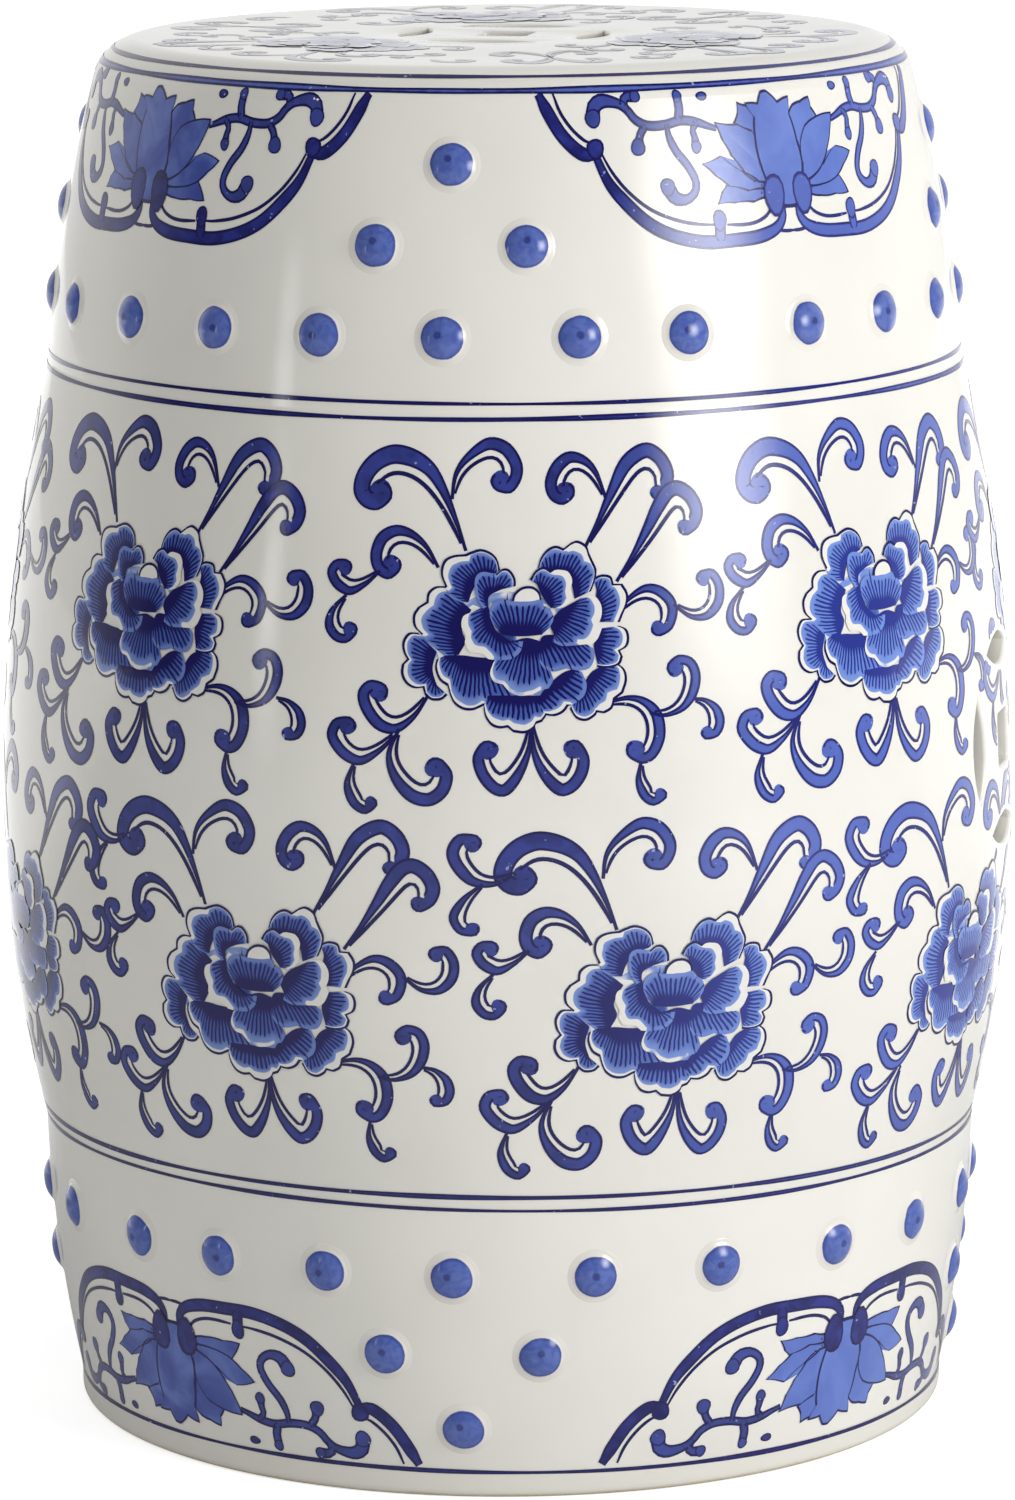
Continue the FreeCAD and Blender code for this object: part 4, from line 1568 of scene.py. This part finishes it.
def studs_mesh(spots):
    """Domes with glaze pooled round their roots, at a node's stud places."""
    bm = bmesh.new()
    marks = bm.verts.layers.float_vector.new(BRUSH_MARKS)
    rng = random.Random(len(spots))
    for azimuth, z in spots:
        before = set(bm.verts)
        spin_profile(bm, STUD_PROFILE, steps=28)
        dot = Vector((rng.uniform(-1.8, 1.4), rng.uniform(-0.4, 2.0)))
        grow = WRAP_R / section(z)[0]
        _, centre_z, arc = arc_at(z)
        tall = math.sqrt(1 - ((z - centre_z) / arc) ** 2)
        for vert in set(bm.verts) - before:
            x, y, lift = vert.co
            # The last number isn't read; its draw keeps the dots of the next studs in their places
            vert[marks] = (math.hypot(x, y), (Vector((x, y)) - dot).length, rng.random() * 0.2)
            vert.co = on_wall(way_round(azimuth) + x * grow, z + y * tall, lift)
    bmesh.ops.remove_doubles(bm, verts=bm.verts, dist=WELD)
    return bm


# Settings


class StoolSizes(bpy.types.PropertyGroup):
    """Sizes of what is added over the construction model, in millimetres."""

    rim_round: FloatProperty(
        name="Rim rounding", description="Rounding of the pierced holes' edges, in millimetres",
        default=1.2, min=0.3, max=2.0,
    )
    wall: FloatProperty(
        name="Wall", description="Thickness of the clay wall, in millimetres",
        default=8.0, min=4.0, max=12.0,
    )
    seat_reach: FloatProperty(
        name="Seat spray reach", default=66.0, min=60.0, max=72.0,
        description="How far the seat's sprays lie from its middle, in millimetres",
    )


class StoolLooks(bpy.types.PropertyGroup):
    """Colours that a user would change."""

    glaze: FloatVectorProperty(
        name="Glaze", description="Colour of the glaze", subtype="COLOR",
        default=(0.783, 0.768, 0.708), min=0.0, max=1.0,
    )


class StoolOperator(bpy.types.Operator):
    """What the stool's operators share."""

    bl_options = {"REGISTER", "UNDO"}

    @property
    def sizes(self):
        """The stool's size settings."""
        return bpy.context.scene.stool_sizes

    def shell(self, name, bm, replaced, finish="glaze", slot="glazed_clay"):
        """Finish a shell that takes the place of construction nodes."""
        finish_piece(name, bm, material(finish), replaced)

    def paint(self, pieces):
        """Finish painted pieces, each given as its name, mesh and material."""
        for name, bm, kind in pieces:
            finish_paint(name, bm, kind)
        return {"FINISHED"}


class STOOL_OT_belly(StoolOperator):
    """Build the belly with its two pierced coins."""

    bl_idname = "stool.belly"
    bl_label = "Belly"

    def execute(self, context):
        replaced = ("belly_wall", "side_coin_panel_right", "side_coin_panel_left")
        self.shell("belly", belly_piece(self.sizes), replaced)
        return {"FINISHED"}


class STOOL_OT_collars(StoolOperator):
    """Build the collars above and below the belly."""

    bl_idname = "stool.collars"
    bl_label = "Collars"

    def execute(self, context):
        wall = self.sizes.wall
        upper = wall_section(UPPER_ARC, UPPER_SEAM_Z, UNDERSIDE_Z, wall)
        lower = wall_section(LOWER_ARC, FOOT_TOP, LOWER_SEAM_Z, wall)
        self.shell("collar_upper", spin_ring(upper), ("upper_collar",))
        self.shell("collar_lower", spin_ring(lower), ("lower_collar",))
        return {"FINISHED"}


class STOOL_OT_seat(StoolOperator):
    """Build the seat with its rounded edge and pierced coin."""

    bl_idname = "stool.seat"
    bl_label = "Seat"

    def execute(self, context):
        self.shell("seat", seat_piece(self.sizes), ("seat_plate", "seat_coin_panel"))
        return {"FINISHED"}


class STOOL_OT_foot(StoolOperator):
    """Build the foot ring with its bare underside."""

    bl_idname = "stool.foot"
    bl_label = "Foot"

    def execute(self, context):
        self.shell("foot", spin_ring(foot_section()), ("foot_ring",), "clay", "foot_clay")
        return {"FINISHED"}


class STOOL_OT_studs(StoolOperator):
    """Press on the painted studs."""

    bl_idname = "stool.studs"
    bl_label = "Studs"

    def execute(self, context):
        for node, spots in STUDS.items():
            self.shell("visual_" + node, studs_mesh(spots), (node,), "stud", "cobalt_glaze")
        return {"FINISHED"}


class STOOL_OT_lines(StoolOperator):
    """Paint the lines round the stool."""

    bl_idname = "stool.lines"
    bl_label = "Lines"

    def execute(self, context):
        return self.paint([("painted_lines", paint_lines(), "stroke")])


class STOOL_OT_sprays(StoolOperator):
    """Paint the two rows of peony sprays round the belly."""

    bl_idname = "stool.sprays"
    bl_label = "Peony sprays"

    def execute(self, context):
        return self.paint(paint_belly(self.sizes))


class STOOL_OT_lappets(StoolOperator):
    """Paint the lotus lappets under the seat and over the foot."""

    bl_idname = "stool.lappets"
    bl_label = "Lappets"

    def execute(self, context):
        return self.paint(paint_lappets())


class STOOL_OT_seat_painting(StoolOperator):
    """Paint the peony sprays on the seat."""

    bl_idname = "stool.seat_painting"
    bl_label = "Seat painting"

    def execute(self, context):
        return self.paint(paint_seat(self.sizes))


class STOOL_OT_stage(StoolOperator):
    """Set the floor, lamps and camera for the picture."""

    bl_idname = "stool.stage"
    bl_label = "Stage"

    def execute(self, context):
        make_floor()
        for lamp in LAMPS:
            make_lamp(*lamp)
        make_world()
        make_camera()
        return {"FINISHED"}


class STOOL_PT_panel(bpy.types.Panel):
    """Lists the steps that build the stool."""

    bl_idname = "STOOL_PT_panel"
    bl_label = "Garden stool"
    bl_space_type = "VIEW_3D"
    bl_region_type = "UI"
    bl_category = "Garden stool"

    def draw(self, context):
        layout = self.layout
        for size in ("rim_round", "wall", "seat_reach"):
            layout.prop(context.scene.stool_sizes, size)
        layout.prop(context.scene.stool_looks, "glaze")
        for operator in STEPS:
            layout.operator(operator.bl_idname)


# Stage

# The camera's place from the photo's angle, in metres and degrees
VIEW_AZIMUTH = 13.7
VIEW_REACH = 2.3297
VIEW_HEIGHT = 0.6543
VIEW_DOWN = 10.63
VIEW_ROLL = -0.006
LENS = 169.67
# The lamps face this height at the stool's middle
LAMP_AIM = 0.23
# Azimuth from the camera's, elevation, distance, size, power and width of the faded edge
LAMPS = (
    ("lamp_right", 51.0, 16.0, 1.75, (1.25, 1.2), 56.0, 0.48),
    ("lamp_side", 75.0, 22.0, 2.2, (2.2, 1.8), 14.0, 0.5),
    ("lamp_left", -54.0, 6.0, 1.9, (0.26, 0.85), 2.2, 0.45),
)
# The grey light all round, and what reflections see on the camera's side of the stool
WORLD_LIGHT = 0.54
FRONT_REFLECTION = 0.12
# How much the floor glows under the stool; away from it, it glows fully
FLOOR_GLOW = 0.65
WHITE = (1.0, 1.0, 1.0, 1.0)


def make_floor():
    """A plain pale floor: it keeps the stool's shadow and fades into the white backdrop."""
    bm = bmesh.new()
    bmesh.ops.create_circle(bm, segments=96, radius=6.0, cap_ends=True)
    mesh = bpy.data.meshes.new("floor")
    bm.to_mesh(mesh)
    bm.free()
    shader = Shader("white_floor")
    away = shader.add("ShaderNodeVectorMath", {0: shader.place}, operation="LENGTH")
    far = shader.step(away.outputs["Value"], 0.2, 0.6)
    glow = shader.math("MULTIPLY_ADD", far, 1 - FLOOR_GLOW, FLOOR_GLOW)
    glow = shader.math("MULTIPLY", glow, shader.rays("Is Camera Ray", "Is Transmission Ray"))
    behind = shader.step(shader.backwards(shader.place), 0.1, 0.8)
    glow = shader.math("MULTIPLY_ADD", behind, shader.rays("Is Glossy Ray"), glow)
    surface = {
        "Base Color": (0.8, 0.8, 0.8, 1.0), "Roughness": 1.0, "Specular IOR Level": 0.0,
        "Emission Color": WHITE, "Emission Strength": glow,
    }
    for name, value in surface.items():
        shader.feed(shader.surface.inputs[name], value)
    mesh.materials.append(shader.material)
    floor = bpy.data.objects.new("floor", mesh)
    bpy.context.scene.collection.objects.link(floor)


def make_lamp(name, azimuth, elevation, distance, size, power, soft):
    """A rectangular lamp that faces the stool's middle and fades towards its edges."""
    data = bpy.data.lights.new(name, "AREA")
    data.shape = "RECTANGLE"
    data.size, data.size_y = size
    data.energy = power
    data.use_nodes = True
    nodes = Nodes(data.node_tree)
    spot = nodes.parts(nodes.add("ShaderNodeNewGeometry").outputs["Parametric"])
    fades = [nodes.step(nodes.math("PINGPONG", way, 0.5), 0.0, soft) for way in spot[:2]]
    nodes.feed(nodes.tree.nodes["Emission"].inputs["Strength"], nodes.math("MULTIPLY", *fades))
    lamp = bpy.data.objects.new(name, data)
    turn, tilt = math.radians(VIEW_AZIMUTH + azimuth), math.radians(elevation)
    flat, up = distance * math.cos(tilt), distance * math.sin(tilt)
    aim = Vector((0, 0, LAMP_AIM))
    lamp.location = aim + Vector((math.sin(turn) * flat, -math.cos(turn) * flat, up))
    lamp.rotation_euler = (aim - lamp.location).to_track_quat("-Z", "Y").to_euler()
    bpy.context.scene.collection.objects.link(lamp)


def make_world():
    """Soft grey light all round; the camera sees white, and reflections see it behind the stool."""
    world = bpy.data.worlds.new("studio")
    world.use_nodes = True
    nodes = Nodes(world.node_tree)
    away = nodes.backwards(nodes.add("ShaderNodeTexCoord").outputs["Generated"])
    behind = nodes.step(away, -0.1, 0.6, FRONT_REFLECTION)
    mirrored = nodes.rays("Is Glossy Ray", "Is Transmission Ray")
    seen = nodes.add("ShaderNodeMix", {"Factor": mirrored, "A": WORLD_LIGHT, "B": behind})
    strength = nodes.math("MAXIMUM", seen.outputs["Result"], nodes.rays("Is Camera Ray"))
    back = nodes.tree.nodes["Background"]
    nodes.feed(back.inputs["Color"], WHITE)
    nodes.feed(back.inputs["Strength"], strength)
    bpy.context.scene.world = world


def make_camera():
    """The camera at the photo's angle."""
    data = bpy.data.cameras.new("camera")
    data.sensor_fit = "VERTICAL"
    data.sensor_height = 36.0
    data.lens = LENS
    data.clip_end = 50.0
    camera = bpy.data.objects.new("camera", data)
    turn = math.radians(VIEW_AZIMUTH)
    camera.location = (VIEW_REACH * math.sin(turn), -VIEW_REACH * math.cos(turn), VIEW_HEIGHT)
    tilt = Matrix.Rotation(math.radians(90 - VIEW_DOWN), 3, "X")
    turned = Matrix.Rotation(turn, 3, "Z") @ tilt @ Matrix.Rotation(VIEW_ROLL, 3, "Z")
    camera.rotation_euler = turned.to_euler()
    scene = bpy.context.scene
    scene.collection.objects.link(camera)
    scene.camera = camera
    scene.view_settings.view_transform = "Standard"


# The order in which the stool is built
STEPS = (
    STOOL_OT_belly, STOOL_OT_collars, STOOL_OT_seat, STOOL_OT_foot, STOOL_OT_studs, STOOL_OT_lines,
    STOOL_OT_sprays, STOOL_OT_lappets, STOOL_OT_seat_painting, STOOL_OT_stage,
)
CLASSES = (StoolSizes, StoolLooks) + STEPS + (STOOL_PT_panel,)


def register():
    for cls in CLASSES:
        bpy.utils.register_class(cls)
    bpy.types.Scene.stool_sizes = PointerProperty(type=StoolSizes)
    bpy.types.Scene.stool_looks = PointerProperty(type=StoolLooks)


def unregister():
    del bpy.types.Scene.stool_looks
    del bpy.types.Scene.stool_sizes
    for cls in reversed(CLASSES):
        bpy.utils.unregister_class(cls)


def main():
    """Build every piece, then the stage."""
    register()
    for operator in STEPS:
        getattr(bpy.ops.stool, operator.bl_idname.split(".")[1])()
    bpy.context.view_layer.update()


if __name__ == "__main__":
    main()
